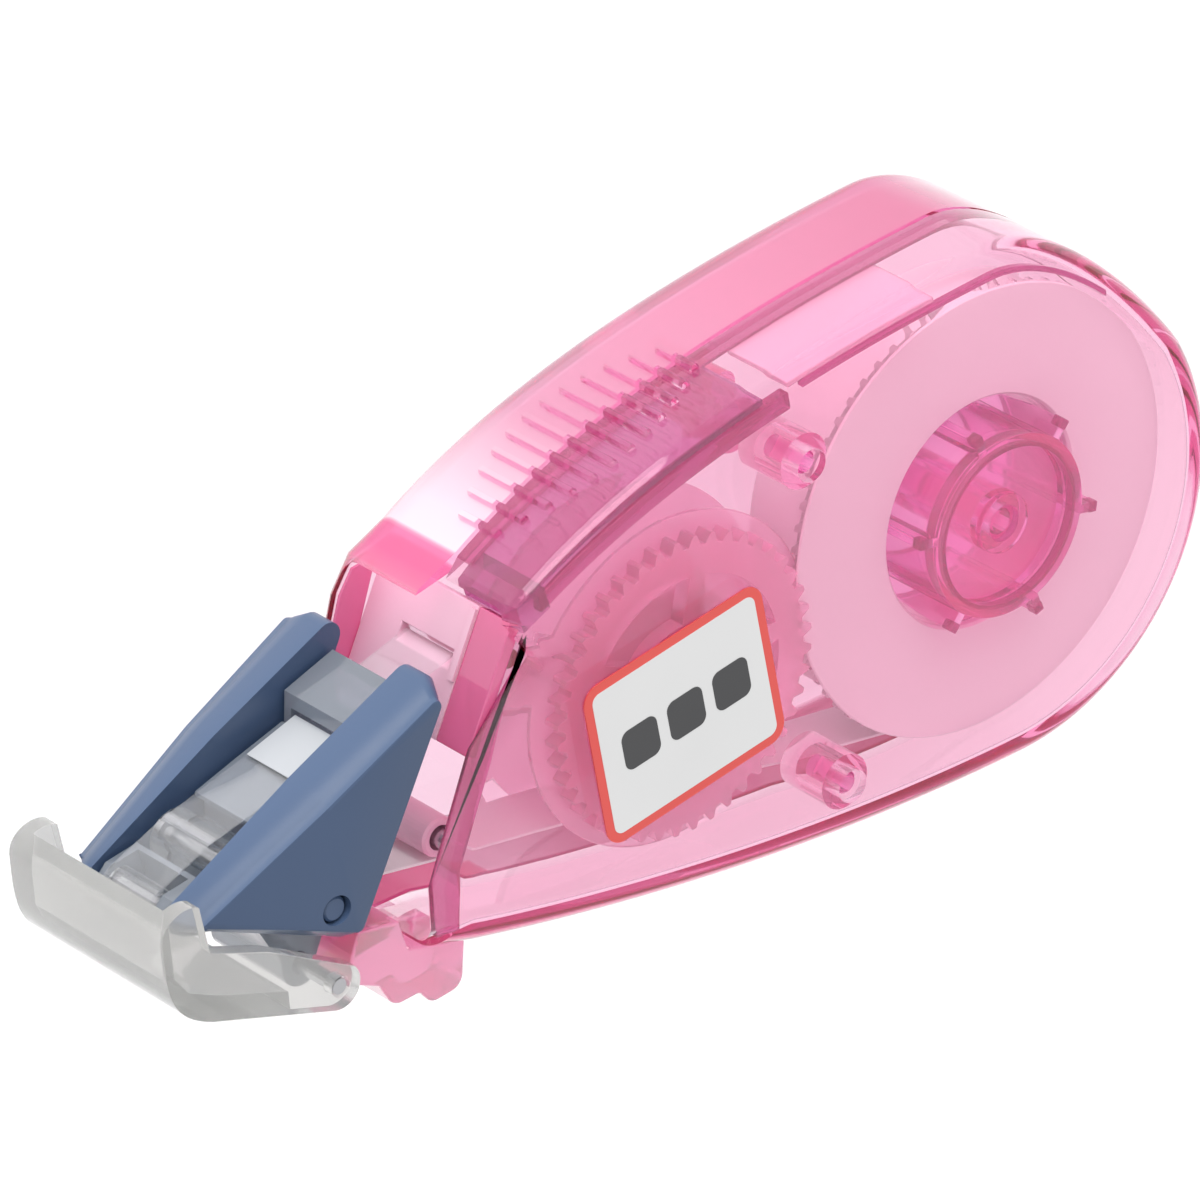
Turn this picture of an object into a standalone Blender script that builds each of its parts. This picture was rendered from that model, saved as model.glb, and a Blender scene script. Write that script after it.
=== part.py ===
"""Correction tape roller: a flat, see-through teardrop casing that holds a supply coil geared to a take-up
spool, with a wedge nose between two cheeks and a clear cap that swings off the tip.

Working frame, in millimetres: the supply axle stands at x = 0, y = 0, +X points to the tip, -Y is the side
that the fingers grip, and +Z is the thickness, with the far shell's flat face at z = 0. The whole roller hangs
from one empty that puts the middle of its footprint at the world's origin.
"""

import math

import bmesh
import bpy
from mathutils import Vector

MM = 0.001

# The casing, seen from +Z
THICKNESS = 14.0
WALL = 1.0
FACE_ROUND = 1.8
PARTING_Z = 7.4
PARTING_GAP = 0.3
REAR_RADIUS = 15.6
GRIP_TOP_Y = -18.8
REAR_ARC_END = 205.0
REAR_ARC_START = 87.0
SHOULDER = (36.4, -12.5)
NEAR_MOUTH = ((38.0, -10.8), (36.6, -8.1), (41.4, -4.2), (45.2, 3.4), (45.4, 7.4))
FAR_MOUTH = ((39.2, -11.4), (40.9, -9.2), (42.6, -4.5), (45.6, 3.4), (45.4, 7.4))
CHIN = (42.5, 8.4)

# Grip ribs that cross the parting line
RIB_COUNT = 12
RIB_FIRST_X = 19.2
RIB_LAST_X = 34.4
RIB_WIDTH = 0.6
RIB_HEIGHT = 0.45
RIB_SHORT = 1.6
RIB_LONG = 3.9

# The tape and its coils
TAPE_Z = (4.7, 8.9)
TAPE_THICKNESS = 0.16
TAPE_CLEARANCE = 0.35
COIL_GAP = 0.1
SUPPLY_COIL_RADIUS = 13.4
SUPPLY_CORE = (7.35, 8.0)
TAKEUP_COIL_RADIUS = 5.6

# The gear pair
SUPPLY_AXIS = (0.0, 0.0)
TAKEUP_AXIS = (23.5, 1.0)
SUPPLY_TEETH = 66
TAKEUP_TEETH = 44
CENTRE_DISTANCE = math.hypot(*TAKEUP_AXIS)
MODULE = 2 * CENTRE_DISTANCE / (SUPPLY_TEETH + TAKEUP_TEETH)
SUPPLY_GEAR_Z = (9.55, 10.2)
TAKEUP_GEAR_Z = (9.55, 10.7)

# The supply hub and the take-up spool
HUB_RADIUS = 5.8
HUB_WALL = 0.75
HUB_Z = (3.9, 12.7)
HUB_WEB_Z = (11.2, 11.9)
HUB_RIB_RADIUS = 7.05
HUB_RIB_COUNT = 6
HUB_RIB_WIDTH = 0.6
HUB_RIB_TURN = 45.6
HUB_SLEEVE_RADIUS = 1.9
HUB_SLEEVE_LOW = 4.6
HUB_SLEEVE_RISE = 0.4
AXLE_RADIUS = 0.85
AXLE_CLEARANCE = 0.3
FLANGE_RADIUS = 10.55
FLANGE_NEAR_Z = (9.05, 9.35)
FLANGE_FAR_Z = (4.1, 4.5)
SPOKE_COUNT = 5
WINDOW_TURN = 5.0
WINDOW_RADII = (4.2, 7.1)
WINDOW_HALF_TURNS = (25.0, 31.0)
SPOOL_RADIUS = 3.4
SPOOL_NECK = 2.4
SPOOL_NECK_RISE = 0.6
GEAR_ON_NECK = 0.2

# The bosses that clip the shells together, and the posts that guide the tape
UPPER_BOSS = (15.3, -11.5)
LOWER_BOSS = (14.2, 10.9)
BOSS_RADIUS = 1.75
BOSS_HOLE = 1.05
BOSS_END_Z = 9.3
BOSS_FLOOR = 0.8
CLIP_RADIUS = 0.72
CLIP_CLEARANCE = 0.3
CLIP_SUNK = 0.5
PIN_CHAMFER = 0.15
UPPER_POST_TOP = 6.9
LOWER_POST_TOP = 4.2
LOCATING_PEG = (15.6, -13.9)
PEG_RADIUS = 0.9
PEG_TOP = 7.0
POST_ROOT = 0.4
UPPER_GUIDE = (35.6, -6.4)
LOWER_GUIDE = (41.0, 3.6)
GUIDE_RADIUS = 1.25
GUIDE_PIN = 0.6
GUIDE_ROLLER_Z = (4.3, 9.3)
GUIDE_PIN_TOP = 10.4
BULKHEAD_Z = (1.3, 12.7)
BULKHEAD_WINDOW_Z = (4.2, 9.4)

# The seats that hold axles and guide pins in the far shell
AXLE_SEAT_RADIUS = 2.0
AXLE_SEAT_TOP = 2.0
GUIDE_SEAT_RADIUS = 1.3
GUIDE_SEAT_TOP = 3.2
SEAT_BORE_LOW = 1.1
SEAT_FIT = 0.1
PIN_LOW = 1.4
SUPPLY_AXLE_TOP = 12.0
TAKEUP_AXLE_TOP = 12.2

# The nose
CHEEK_FAR_Z = (0.3, 3.7)
CHEEK_NEAR_Z = (10.3, 13.7)
CHEEK_TAPER_START = 50.0
CHEEK_TAPER = 1.3
CHEEK_TIP_X = 61.9
CORE_Z = (3.95, 10.05)
RAIL = 0.6
CHEEK_PIN = (51.8, 1.5)
CHEEK_PIN_RADIUS = 0.8
CHEEK_HOLE = CHEEK_PIN_RADIUS + 0.15
SOCKET_DEPTH = 1.7
PRESS_ROLLER = (55.9, -1.55)
PRESS_ROLLER_RADIUS = 1.7
TIP_ROLLER = (60.3, -0.75)
TIP_ROLLER_RADIUS = 1.0
ROLLER_PIN = 0.45
ROLLER_CLEARANCE = 0.2
ROLLER_CHAMFER = 0.15
ROLLER_SIDE_GAP = 0.1
TIP_PIN_FIT = 0.12
CHEEK_PIN_Z = (0.8, 13.2)
PRESS_PIN_Z = (2.3, 11.7)

# The cap
CAP_HINGE = (52.5, 6.1)
CAP_HINGE_PIN = 0.5
HINGE_HOLE = CAP_HINGE_PIN + 0.15
CAP_Z = (0.1, 13.9)
CAP_WALL = 1.1
CAP_KNUCKLE = 1.45
CAP_PIN_Z = (0.2, 13.8)
LUG_Z = (2.6, 11.8)
LUG_SHELF_Z = 7.5

# The label on the near face
LABEL_LIFT = 0.05
LABEL_THICKNESS = 0.15

# Cutters run this far past the pieces that they cut
PAST = 1.0

# The casing's middle, which goes to the world's origin
MIDDLE_X = 24.45
MIDDLE_Y = -1.6


# Small tools ---------------------------------------------------------------------------------------------


def material(name, colour, roughness, metallic=0.0, alpha=1.0):
    made = bpy.data.materials.new(name)
    made.use_nodes = True
    shader = made.node_tree.nodes["Principled BSDF"]
    shader.inputs["Base Color"].default_value = (*colour, 1.0)
    shader.inputs["Roughness"].default_value = roughness
    shader.inputs["Metallic"].default_value = metallic
    shader.inputs["Alpha"].default_value = alpha
    return made


def place(name, mesh, surface, axis=(0.0, 0.0), helper=False):
    """An object whose origin stands on the given axis, hung from the casing's middle."""
    made = bpy.data.objects.new(name, mesh)
    bpy.context.scene.collection.objects.link(made)
    made.parent = MIDDLE
    made.location = Vector((axis[0], axis[1], 0.0)) * MM
    if surface:
        mesh.materials.append(surface)
    if helper:
        made.hide_render = True
        made.display_type = "WIRE"
    return made


def mesh_from(bm, name):
    bmesh.ops.recalc_face_normals(bm, faces=bm.faces)
    mesh = bpy.data.meshes.new(name)
    bm.to_mesh(mesh)
    bm.free()
    return mesh


def soften(made, degrees=35.0):
    made.data.shade_smooth()
    made.data.set_sharp_from_angle(angle=math.radians(degrees))
    return made


def add_prism(bm, outline, low, high, axis=(0.0, 0.0)):
    """One upright prism, with its outline in the working frame and its points counted from the axis."""
    rings = []
    for z in (low, high):
        rings.append([bm.verts.new(Vector((x - axis[0], y - axis[1], z)) * MM) for x, y in outline])
    bm.faces.new(rings[0])
    bm.faces.new(rings[1])
    for i in range(len(outline)):
        j = (i + 1) % len(outline)
        bm.faces.new((rings[0][i], rings[0][j], rings[1][j], rings[1][i]))


def prism(name, outline, low, high, surface=None, axis=(0.0, 0.0), helper=False):
    bm = bmesh.new()
    add_prism(bm, outline, low, high, axis)
    return place(name, mesh_from(bm, name), surface, axis, helper)


def loft(name, rings, surface=None, helper=False):
    """A closed solid through outlines of equal length, each given with its height."""
    bm = bmesh.new()
    rows = [[bm.verts.new(Vector((x, y, z)) * MM) for x, y in outline] for outline, z in rings]
    bm.faces.new(rows[0])
    bm.faces.new(rows[-1])
    for low, high in zip(rows, rows[1:]):
        for i in range(len(low)):
            j = (i + 1) % len(low)
            bm.faces.new((low[i], low[j], high[j], high[i]))
    return place(name, mesh_from(bm, name), surface, helper=helper)


def turned(name, profile, surface, axis=(0.0, 0.0), steps=48, helper=False):
    """A turned piece: the profile's points are (radius, height), and it closes on itself off the axis."""
    bm = bmesh.new()
    columns = []
    for step in range(steps):
        angle = 2 * math.pi * step / steps
        cos, sin = math.cos(angle), math.sin(angle)
        columns.append([bm.verts.new(Vector((r * cos, r * sin, z)) * MM) for r, z in profile])
    for i, column in enumerate(columns):
        after = columns[(i + 1) % steps]
        for k in range(len(profile)):
            n = (k + 1) % len(profile)
            bm.faces.new((column[k], column[n], after[n], after[k]))
    return soften(place(name, mesh_from(bm, name), surface, axis, helper))


def rod(name, radius, low, high, surface, axis, steps=24, helper=False, chamfer=0.0):
    """A solid round bar, with small chamfers where asked."""
    levels = [(radius - chamfer, low), (radius, low + chamfer), (radius, high - chamfer), (radius - chamfer, high)]
    if chamfer == 0.0:
        levels = [(radius, low), (radius, high)]
    rings = [(circle(axis, r, steps), z) for r, z in levels]
    bm = bmesh.new()
    rows = []
    for outline, z in rings:
        rows.append([bm.verts.new(Vector((x - axis[0], y - axis[1], z)) * MM) for x, y in outline])
    bm.faces.new(rows[0])
    bm.faces.new(rows[-1])
    for row, after in zip(rows, rows[1:]):
        for i in range(steps):
            j = (i + 1) % steps
            bm.faces.new((row[i], row[j], after[j], after[i]))
    return soften(place(name, mesh_from(bm, name), surface, axis, helper))


def boolean(made, other, operation):
    change = made.modifiers.new(f"{operation}_{other.name}", "BOOLEAN")
    change.operation = operation
    change.object = other
    return made


def cut(made, *others):
    for other in others:
        boolean(made, other, "DIFFERENCE")
    return made


def add(made, *others):
    for other in others:
        boolean(made, other, "UNION")
    return made


def circle(centre, radius, steps):
    turns = [2 * math.pi * step / steps for step in range(steps)]
    return [(centre[0] + radius * math.cos(a), centre[1] + radius * math.sin(a)) for a in turns]


def arc(centre, radius, start, end, steps):
    """Points from one angle to another, in degrees, with both ends."""
    angles = [math.radians(start + (end - start) * step / steps) for step in range(steps + 1)]
    return [(centre[0] + radius * math.cos(a), centre[1] + radius * math.sin(a)) for a in angles]


def bezier(start, pull_start, pull_end, end, steps):
    """Points on a cubic curve, without its first point."""
    points = []
    for step in range(1, steps + 1):
        t = step / steps
        weights = ((1 - t) ** 3, 3 * t * (1 - t) ** 2, 3 * t * t * (1 - t), t**3)
        controls = (start, pull_start, pull_end, end)
        points.append(tuple(sum(w * c[k] for w, c in zip(weights, controls)) for k in (0, 1)))
    return points


def rounded(corners, steps=5):
    """A closed outline with round corners: each corner is (x, y, radius)."""
    points = []
    count = len(corners)
    for i, (x, y, radius) in enumerate(corners):
        here = Vector((x, y))
        before = (Vector(corners[i - 1][:2]) - here).normalized()
        after = (Vector(corners[(i + 1) % count][:2]) - here).normalized()
        half = before.angle(after) / 2
        if radius == 0:
            points.append((x, y))
            continue
        reach = radius / math.tan(half)
        middle = here + (before + after).normalized() * (radius / math.sin(half))
        first = here + before * reach - middle
        last = here + after * reach - middle
        sweep = first.angle_signed(last)
        for step in range(steps + 1):
            turn = -sweep * step / steps
            cos, sin = math.cos(turn), math.sin(turn)
            points.append((middle.x + first.x * cos - first.y * sin, middle.y + first.x * sin + first.y * cos))
    return points


def inset(outline, distance):
    """The outline moved inwards along its corners' bisectors; the outline runs anticlockwise."""
    moved = []
    count = len(outline)
    for i in range(count):
        here = Vector(outline[i])
        before = (here - Vector(outline[i - 1])).normalized()
        after = (Vector(outline[(i + 1) % count]) - here).normalized()
        inward = (Vector((-before.y, before.x)) + Vector((-after.y, after.x))).normalized()
        stretch = max(inward.dot(Vector((-after.y, after.x))), 0.5)
        moved.append(tuple(here + inward * (distance / stretch)))
    return moved


# Outlines of the casing ----------------------------------------------------------------------------------


def rear_end():
    a = math.radians(REAR_ARC_END)
    return (REAR_RADIUS * math.cos(a), REAR_RADIUS * math.sin(a))


def top_edge():
    """The grip side, from the round rear to the shoulder by the mouth."""
    start = rear_end()
    blend = bezier(start, (-10.9, -12.0), (-5.0, GRIP_TOP_Y), (0.0, GRIP_TOP_Y), 8)
    return blend + bezier((0.0, GRIP_TOP_Y), (15.0, GRIP_TOP_Y), (27.5, -17.2), SHOULDER, 14)


def rear_edge():
    return arc((0.0, 0.0), REAR_RADIUS, REAR_ARC_START, REAR_ARC_END, 22)


def bottom_edge():
    """The plain side, from the chin back to the round rear."""
    a = math.radians(REAR_ARC_START)
    end = (REAR_RADIUS * math.cos(a), REAR_RADIUS * math.sin(a))
    return bezier(CHIN, (29.5, 12.2), (14.5, 15.0), end, 10)[:-1]


def casing_outline(mouth):
    """Anticlockwise, seen from +Z."""
    return rear_edge() + top_edge() + list(mouth) + [CHIN] + bottom_edge()


def cavity_outline(mouth):
    """The hollow inside the walls, run out through the mouth."""
    inner = inset(casing_outline(mouth), WALL)
    first = len(rear_edge()) + len(top_edge())
    last = first + len(mouth) - 1
    for k in range(first, last + 1):
        x, y = inner[k]
        inner[k] = (x + 6.0, y)
    shoulder, chin = inner[first - 1], inner[last + 1]
    inner[first] = (inner[first][0], shoulder[1] + 1.2)
    inner[last] = (inner[last][0], chin[1] - 0.6)
    return inner


# Materials -----------------------------------------------------------------------------------------------

for old in list(bpy.data.objects):
    bpy.data.objects.remove(old)

MIDDLE = bpy.data.objects.new("casing_middle", None)
MIDDLE.location = Vector((-MIDDLE_X, -MIDDLE_Y, 0.0)) * MM
bpy.context.scene.collection.objects.link(MIDDLE)

PINK = material("pink_clear_plastic", (0.86, 0.30, 0.52), 0.12, alpha=0.55)
PALE_PINK = material("pale_pink_plastic", (0.93, 0.62, 0.74), 0.25)
BLUE = material("blue_plastic", (0.09, 0.15, 0.31), 0.35)
CLEAR = material("clear_plastic", (0.86, 0.87, 0.87), 0.08, alpha=0.45)
WHITE_TAPE = material("white_tape", (0.88, 0.88, 0.86), 0.55)
CARRIER = material("used_carrier_tape", (0.80, 0.80, 0.78), 0.35, alpha=0.7)
STEEL = material("steel_pin", (0.60, 0.60, 0.62), 0.25, metallic=1.0)
LABEL = material("label_paper", (0.90, 0.90, 0.90), 0.45)


# The shells ----------------------------------------------------------------------------------------------


def face_rounding(outline, edge, face):
    """The rings that round the wall over into the flat face, with the face last."""
    side = 1 if face > edge else -1
    rings = []
    steps = 4
    for step in range(steps + 1):
        a = 0.5 * math.pi * step / steps
        z = face - side * FACE_ROUND * (1 - math.sin(a))
        rings.append((inset(outline, FACE_ROUND * (1 - math.cos(a))) if step else outline, z))
    return [(outline, edge)] + rings


def rib_positions():
    """Each rib's x, its y on the wall, the wall's outward direction there, and half the rib's length."""
    wall = top_edge()
    middle = 0.5 * (RIB_FIRST_X + RIB_LAST_X)
    reach = 0.5 * (RIB_LAST_X - RIB_FIRST_X)
    for i in range(RIB_COUNT):
        x = RIB_FIRST_X + (RIB_LAST_X - RIB_FIRST_X) * i / (RIB_COUNT - 1)
        k = next(n for n in range(1, len(wall)) if wall[n][0] >= x)
        before, after = Vector(wall[k - 1]), Vector(wall[k])
        t = (x - before.x) / (after.x - before.x)
        along = (after - before).normalized()
        bulge = 1 - ((x - middle) / reach) ** 2
        yield before.lerp(after, t), along, RIB_SHORT + (RIB_LONG - RIB_SHORT) * bulge


def ribs(name, low, high):
    """The stretch of every rib between two heights, as one helper of separate bars."""
    bm = bmesh.new()
    for foot, along, half in rib_positions():
        outward = Vector((along.y, -along.x))
        corners = []
        for side, rise in ((-1, -0.4), (1, -0.4), (0.6, RIB_HEIGHT), (-0.6, RIB_HEIGHT)):
            corners.append(tuple(foot + along * (0.5 * RIB_WIDTH * side) + outward * rise))
        z0 = max(low, PARTING_Z - half)
        z1 = min(high, PARTING_Z + half)
        add_prism(bm, corners, z0, z1)
    return place(name, mesh_from(bm, name), None, helper=True)


def far_shell():
    outline = casing_outline(FAR_MOUTH)
    top = PARTING_Z - 0.5 * PARTING_GAP
    shell = loft("far_shell", face_rounding(outline, top, 0.0), PINK)
    inner = cavity_outline(FAR_MOUTH)
    hollow = loft("far_hollow", [(inner, WALL), (inner, top + PAST)], helper=True)
    cut(shell, hollow)
    add(shell, ribs("far_ribs", 0.0, top))
    root = WALL - POST_ROOT
    posts = (
        ("far_upper_post", BOSS_RADIUS, UPPER_POST_TOP, UPPER_BOSS),
        ("far_lower_post", BOSS_RADIUS, LOWER_POST_TOP, LOWER_BOSS),
        ("far_locating_peg", PEG_RADIUS, PEG_TOP, LOCATING_PEG),
        ("far_supply_seat", AXLE_SEAT_RADIUS, AXLE_SEAT_TOP, SUPPLY_AXIS),
        ("far_takeup_seat", AXLE_SEAT_RADIUS, AXLE_SEAT_TOP, TAKEUP_AXIS),
        ("far_upper_guide_seat", GUIDE_SEAT_RADIUS, GUIDE_SEAT_TOP, UPPER_GUIDE),
        ("far_lower_guide_seat", GUIDE_SEAT_RADIUS, GUIDE_SEAT_TOP, LOWER_GUIDE),
    )
    add(shell, *[rod(name, radius, root, high, None, axis, helper=True) for name, radius, high, axis in posts])
    bores = (
        ("far_supply_bore", AXLE_RADIUS, AXLE_SEAT_TOP, SUPPLY_AXIS),
        ("far_takeup_bore", AXLE_RADIUS, AXLE_SEAT_TOP, TAKEUP_AXIS),
        ("far_upper_guide_bore", GUIDE_PIN, GUIDE_SEAT_TOP, UPPER_GUIDE),
        ("far_lower_guide_bore", GUIDE_PIN, GUIDE_SEAT_TOP, LOWER_GUIDE),
    )
    for name, radius, high, axis in bores:
        cut(shell, rod(name, radius + SEAT_FIT, SEAT_BORE_LOW, high + PAST, None, axis, helper=True))
    return soften(shell)


def near_shell():
    outline = casing_outline(NEAR_MOUTH)
    bottom = PARTING_Z + 0.5 * PARTING_GAP
    shell = loft("near_shell", face_rounding(outline, bottom, THICKNESS), PINK)
    inner = cavity_outline(NEAR_MOUTH)
    roof = THICKNESS - WALL
    hollow = loft("near_hollow", [(inner, bottom - PAST), (inner, roof)], helper=True)
    cut(shell, hollow)
    add(shell, ribs("near_ribs", bottom, THICKNESS))
    places = (("upper", UPPER_BOSS), ("lower", LOWER_BOSS))
    root = roof + POST_ROOT
    for side, axis in places:
        add(shell, rod(f"near_{side}_boss", BOSS_RADIUS, BOSS_END_Z, root, None, axis, helper=True))
    low, high = BOSS_END_Z + BOSS_FLOOR, THICKNESS + PAST
    for side, axis in places:
        cut(shell, rod(f"near_{side}_hole", BOSS_HOLE, low, high, None, axis, helper=True))
    return soften(shell)


def clips():
    """The two plugs that hold the shells together, sunk a little into the bosses."""
    low, high = BOSS_END_Z + BOSS_FLOOR + CLIP_CLEARANCE, THICKNESS - CLIP_SUNK
    rod("upper_clip_pin", CLIP_RADIUS, low, high, PALE_PINK, UPPER_BOSS, chamfer=PIN_CHAMFER)
    rod("lower_clip_pin", CLIP_RADIUS, low, high, PALE_PINK, LOWER_BOSS, chamfer=PIN_CHAMFER)


# The gear train ------------------------------------------------------------------------------------------


def gear_outline(teeth, phase):
    """A spur gear's outline about its own axis, with flat-topped teeth that leave backlash."""
    pitch = 0.5 * MODULE * teeth
    root, tip = pitch - 0.85 * MODULE, pitch + 0.65 * MODULE
    step = 2 * math.pi / teeth
    points = []
    for tooth in range(teeth):
        middle = phase + tooth * step
        for radius, share in ((root, -0.34), (tip, -0.11), (tip, 0.11), (root, 0.34)):
            a = middle + share * step
            points.append((radius * math.cos(a), radius * math.sin(a)))
    return points


def mesh_angle():
    return math.atan2(TAKEUP_AXIS[1], TAKEUP_AXIS[0])


def supply_gear():
    """The wide disc over the coil: a tooth of it points at the take-up axle."""
    bm = bmesh.new()
    add_prism(bm, gear_outline(SUPPLY_TEETH, mesh_angle()), *SUPPLY_GEAR_Z)
    gear = place("supply_gear", mesh_from(bm, "supply_gear"), PALE_PINK)
    low, high = SUPPLY_GEAR_Z[0] - PAST, SUPPLY_GEAR_Z[1] + PAST
    bore = rod("supply_gear_bore", SUPPLY_CORE[0], low, high, None, SUPPLY_AXIS, steps=48, helper=True)
    return soften(cut(gear, bore))


def supply_hub():
    """The ribbed drum that the tape's core and the gear sit on, with a web and a sleeve for the axle."""
    inner = HUB_RADIUS - HUB_WALL
    sleeve = HUB_SLEEVE_RADIUS
    bore = AXLE_RADIUS + AXLE_CLEARANCE
    low, high = HUB_Z
    web_low, web_high = HUB_WEB_Z
    sleeve_low, sleeve_high = HUB_SLEEVE_LOW, web_high + HUB_SLEEVE_RISE
    profile = [
        (bore, sleeve_low), (sleeve, sleeve_low), (sleeve, web_low), (inner, web_low), (inner, low),
        (HUB_RADIUS, low), (HUB_RADIUS, high), (inner, high), (inner, web_high), (sleeve, web_high),
        (sleeve, sleeve_high), (bore, sleeve_high),
    ]
    hub = turned("supply_hub", profile, PINK)
    bm = bmesh.new()
    for i in range(HUB_RIB_COUNT):
        a = math.radians(HUB_RIB_TURN + 360.0 * i / HUB_RIB_COUNT)
        out = Vector((math.cos(a), math.sin(a)))
        side = Vector((-out.y, out.x)) * (0.5 * HUB_RIB_WIDTH)
        near, far = out * (HUB_RADIUS - 0.3), out * HUB_RIB_RADIUS
        corners = [tuple(near - side), tuple(far - side), tuple(far + side), tuple(near + side)]
        add_prism(bm, corners, sleeve_low, high)
    fins = place("hub_ribs", mesh_from(bm, "hub_ribs"), None, helper=True)
    return soften(add(hub, fins))


def coil(name, inner, outer, axis, surface):
    low, high = TAPE_Z
    profile = [(inner, low), (outer, low), (outer, high), (inner, high)]
    return turned(name, profile, surface, axis, steps=56)


def takeup_spool():
    """A drum with two flanges and a neck that carries the gear."""
    bore = AXLE_RADIUS + AXLE_CLEARANCE
    far_low, far_high = FLANGE_FAR_Z
    near_low, near_high = FLANGE_NEAR_Z
    neck_high = TAKEUP_GEAR_Z[1] + SPOOL_NECK_RISE
    profile = [
        (bore, far_low), (FLANGE_RADIUS, far_low), (FLANGE_RADIUS, far_high), (SPOOL_RADIUS, far_high),
        (SPOOL_RADIUS, near_low), (FLANGE_RADIUS, near_low), (FLANGE_RADIUS, near_high),
        (SPOOL_NECK, near_high), (SPOOL_NECK, neck_high), (bore, neck_high),
    ]
    return turned("takeup_spool", profile, PINK, TAKEUP_AXIS, steps=56)


def takeup_gear():
    """A toothed rim on five spokes; a gap between two teeth faces the supply gear's tooth."""
    phase = mesh_angle() + math.pi + math.pi / TAKEUP_TEETH
    low, high = TAKEUP_GEAR_Z
    bm = bmesh.new()
    add_prism(bm, gear_outline(TAKEUP_TEETH, phase), low, high)
    gear = place("takeup_gear", mesh_from(bm, "takeup_gear"), PINK, TAKEUP_AXIS)
    low, high = low - PAST, high + PAST
    bore = SPOOL_NECK + GEAR_ON_NECK
    cutters = [rod("takeup_gear_bore", bore, low, high, None, TAKEUP_AXIS, helper=True)]
    inner_turn, outer_turn = WINDOW_HALF_TURNS
    for i in range(SPOKE_COUNT):
        middle = WINDOW_TURN + 360.0 * i / SPOKE_COUNT
        outer = arc((0.0, 0.0), WINDOW_RADII[1], middle - outer_turn, middle + outer_turn, 8)
        inner = arc((0.0, 0.0), WINDOW_RADII[0], middle + inner_turn, middle - inner_turn, 5)
        bm = bmesh.new()
        add_prism(bm, outer + inner, low, high)
        name = f"takeup_window_{i}"
        cutters.append(place(name, mesh_from(bm, name), None, TAKEUP_AXIS, helper=True))
    return soften(cut(gear, *cutters))


def axles():
    rod("supply_axle", AXLE_RADIUS, PIN_LOW, SUPPLY_AXLE_TOP, PALE_PINK, SUPPLY_AXIS, chamfer=PIN_CHAMFER)
    rod("takeup_axle", AXLE_RADIUS, PIN_LOW, TAKEUP_AXLE_TOP, PALE_PINK, TAKEUP_AXIS, chamfer=PIN_CHAMFER)


# The tape's free runs ------------------------------------------------------------------------------------


def band(name, route, surface):
    """A thin strip of tape along a route, its thickness split to both sides."""
    half = 0.5 * TAPE_THICKNESS
    bm = bmesh.new()
    rows = []
    for i, point in enumerate(route):
        here = Vector(point)
        before = (here - Vector(route[i - 1])).normalized() if i else Vector((0.0, 0.0))
        after = (Vector(route[i + 1]) - here).normalized() if i + 1 < len(route) else Vector((0.0, 0.0))
        along = (before + after).normalized()
        across = Vector((-along.y, along.x)) * half
        corners = [(side, z) for z in TAPE_Z for side in (here + across, here - across)]
        rows.append([bm.verts.new(Vector((side.x, side.y, z)) * MM) for side, z in corners])
    for row, ahead in zip(rows, rows[1:]):
        for j, k in ((0, 1), (1, 3), (3, 2), (2, 0)):
            bm.faces.new((row[j], row[k], ahead[k], ahead[j]))
    for end in (rows[0], rows[-1]):
        bm.faces.new((end[0], end[1], end[3], end[2]))
    return place(name, mesh_from(bm, name), surface)


def fresh_route():
    """From the bottom of the supply coil, under the lower guide, to the underside of the tip."""
    off_coil = SUPPLY_COIL_RADIUS + TAPE_CLEARANCE
    off_guide = GUIDE_RADIUS + TAPE_CLEARANCE
    away = Vector(LOWER_GUIDE)
    heading = math.degrees(math.atan2(away.y, away.x))
    leave = heading + math.degrees(math.acos((off_coil - off_guide) / away.length))
    route = arc(SUPPLY_AXIS, off_coil, leave + 14.0, leave, 4)
    route += arc(LOWER_GUIDE, off_guide, leave, 76.0, 2)
    return route + arc(TIP_ROLLER, TIP_ROLLER_RADIUS + TAPE_CLEARANCE, 66.0, 8.0, 7)


def return_route():
    """From the tip, over the press roller, the deck and the upper guide, down to the take-up coil."""
    off_coil = TAKEUP_COIL_RADIUS + TAPE_CLEARANCE
    off_guide = GUIDE_RADIUS + TAPE_CLEARANCE
    away = Vector(TAKEUP_AXIS) - Vector(UPPER_GUIDE)
    heading = math.degrees(math.atan2(away.y, away.x))
    leave = heading - 360.0 + math.degrees(math.acos((off_guide + off_coil) / away.length))
    land = leave + 180.0
    route = arc(TIP_ROLLER, TIP_ROLLER_RADIUS + TAPE_CLEARANCE, 0.0, -76.0, 8)
    route += arc(PRESS_ROLLER, PRESS_ROLLER_RADIUS + TAPE_CLEARANCE, -76.0, -62.0, 3)
    route += [(51.0, -4.45), (47.3, -5.35)]
    route += arc(UPPER_GUIDE, off_guide, -68.0, leave, 8)
    return route + arc(TAKEUP_AXIS, off_coil, land, land + 24.0, 4)


# The nose ------------------------------------------------------------------------------------------------


def cheek_outline():
    return rounded((
        (41.2, -10.4, 0.9), (52.0, -6.1, 12.0), (CHEEK_TIP_X, -1.6, 0.25), (61.3, -0.7, 0.25),
        (49.9, 4.9, 0.9),
    ))


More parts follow.
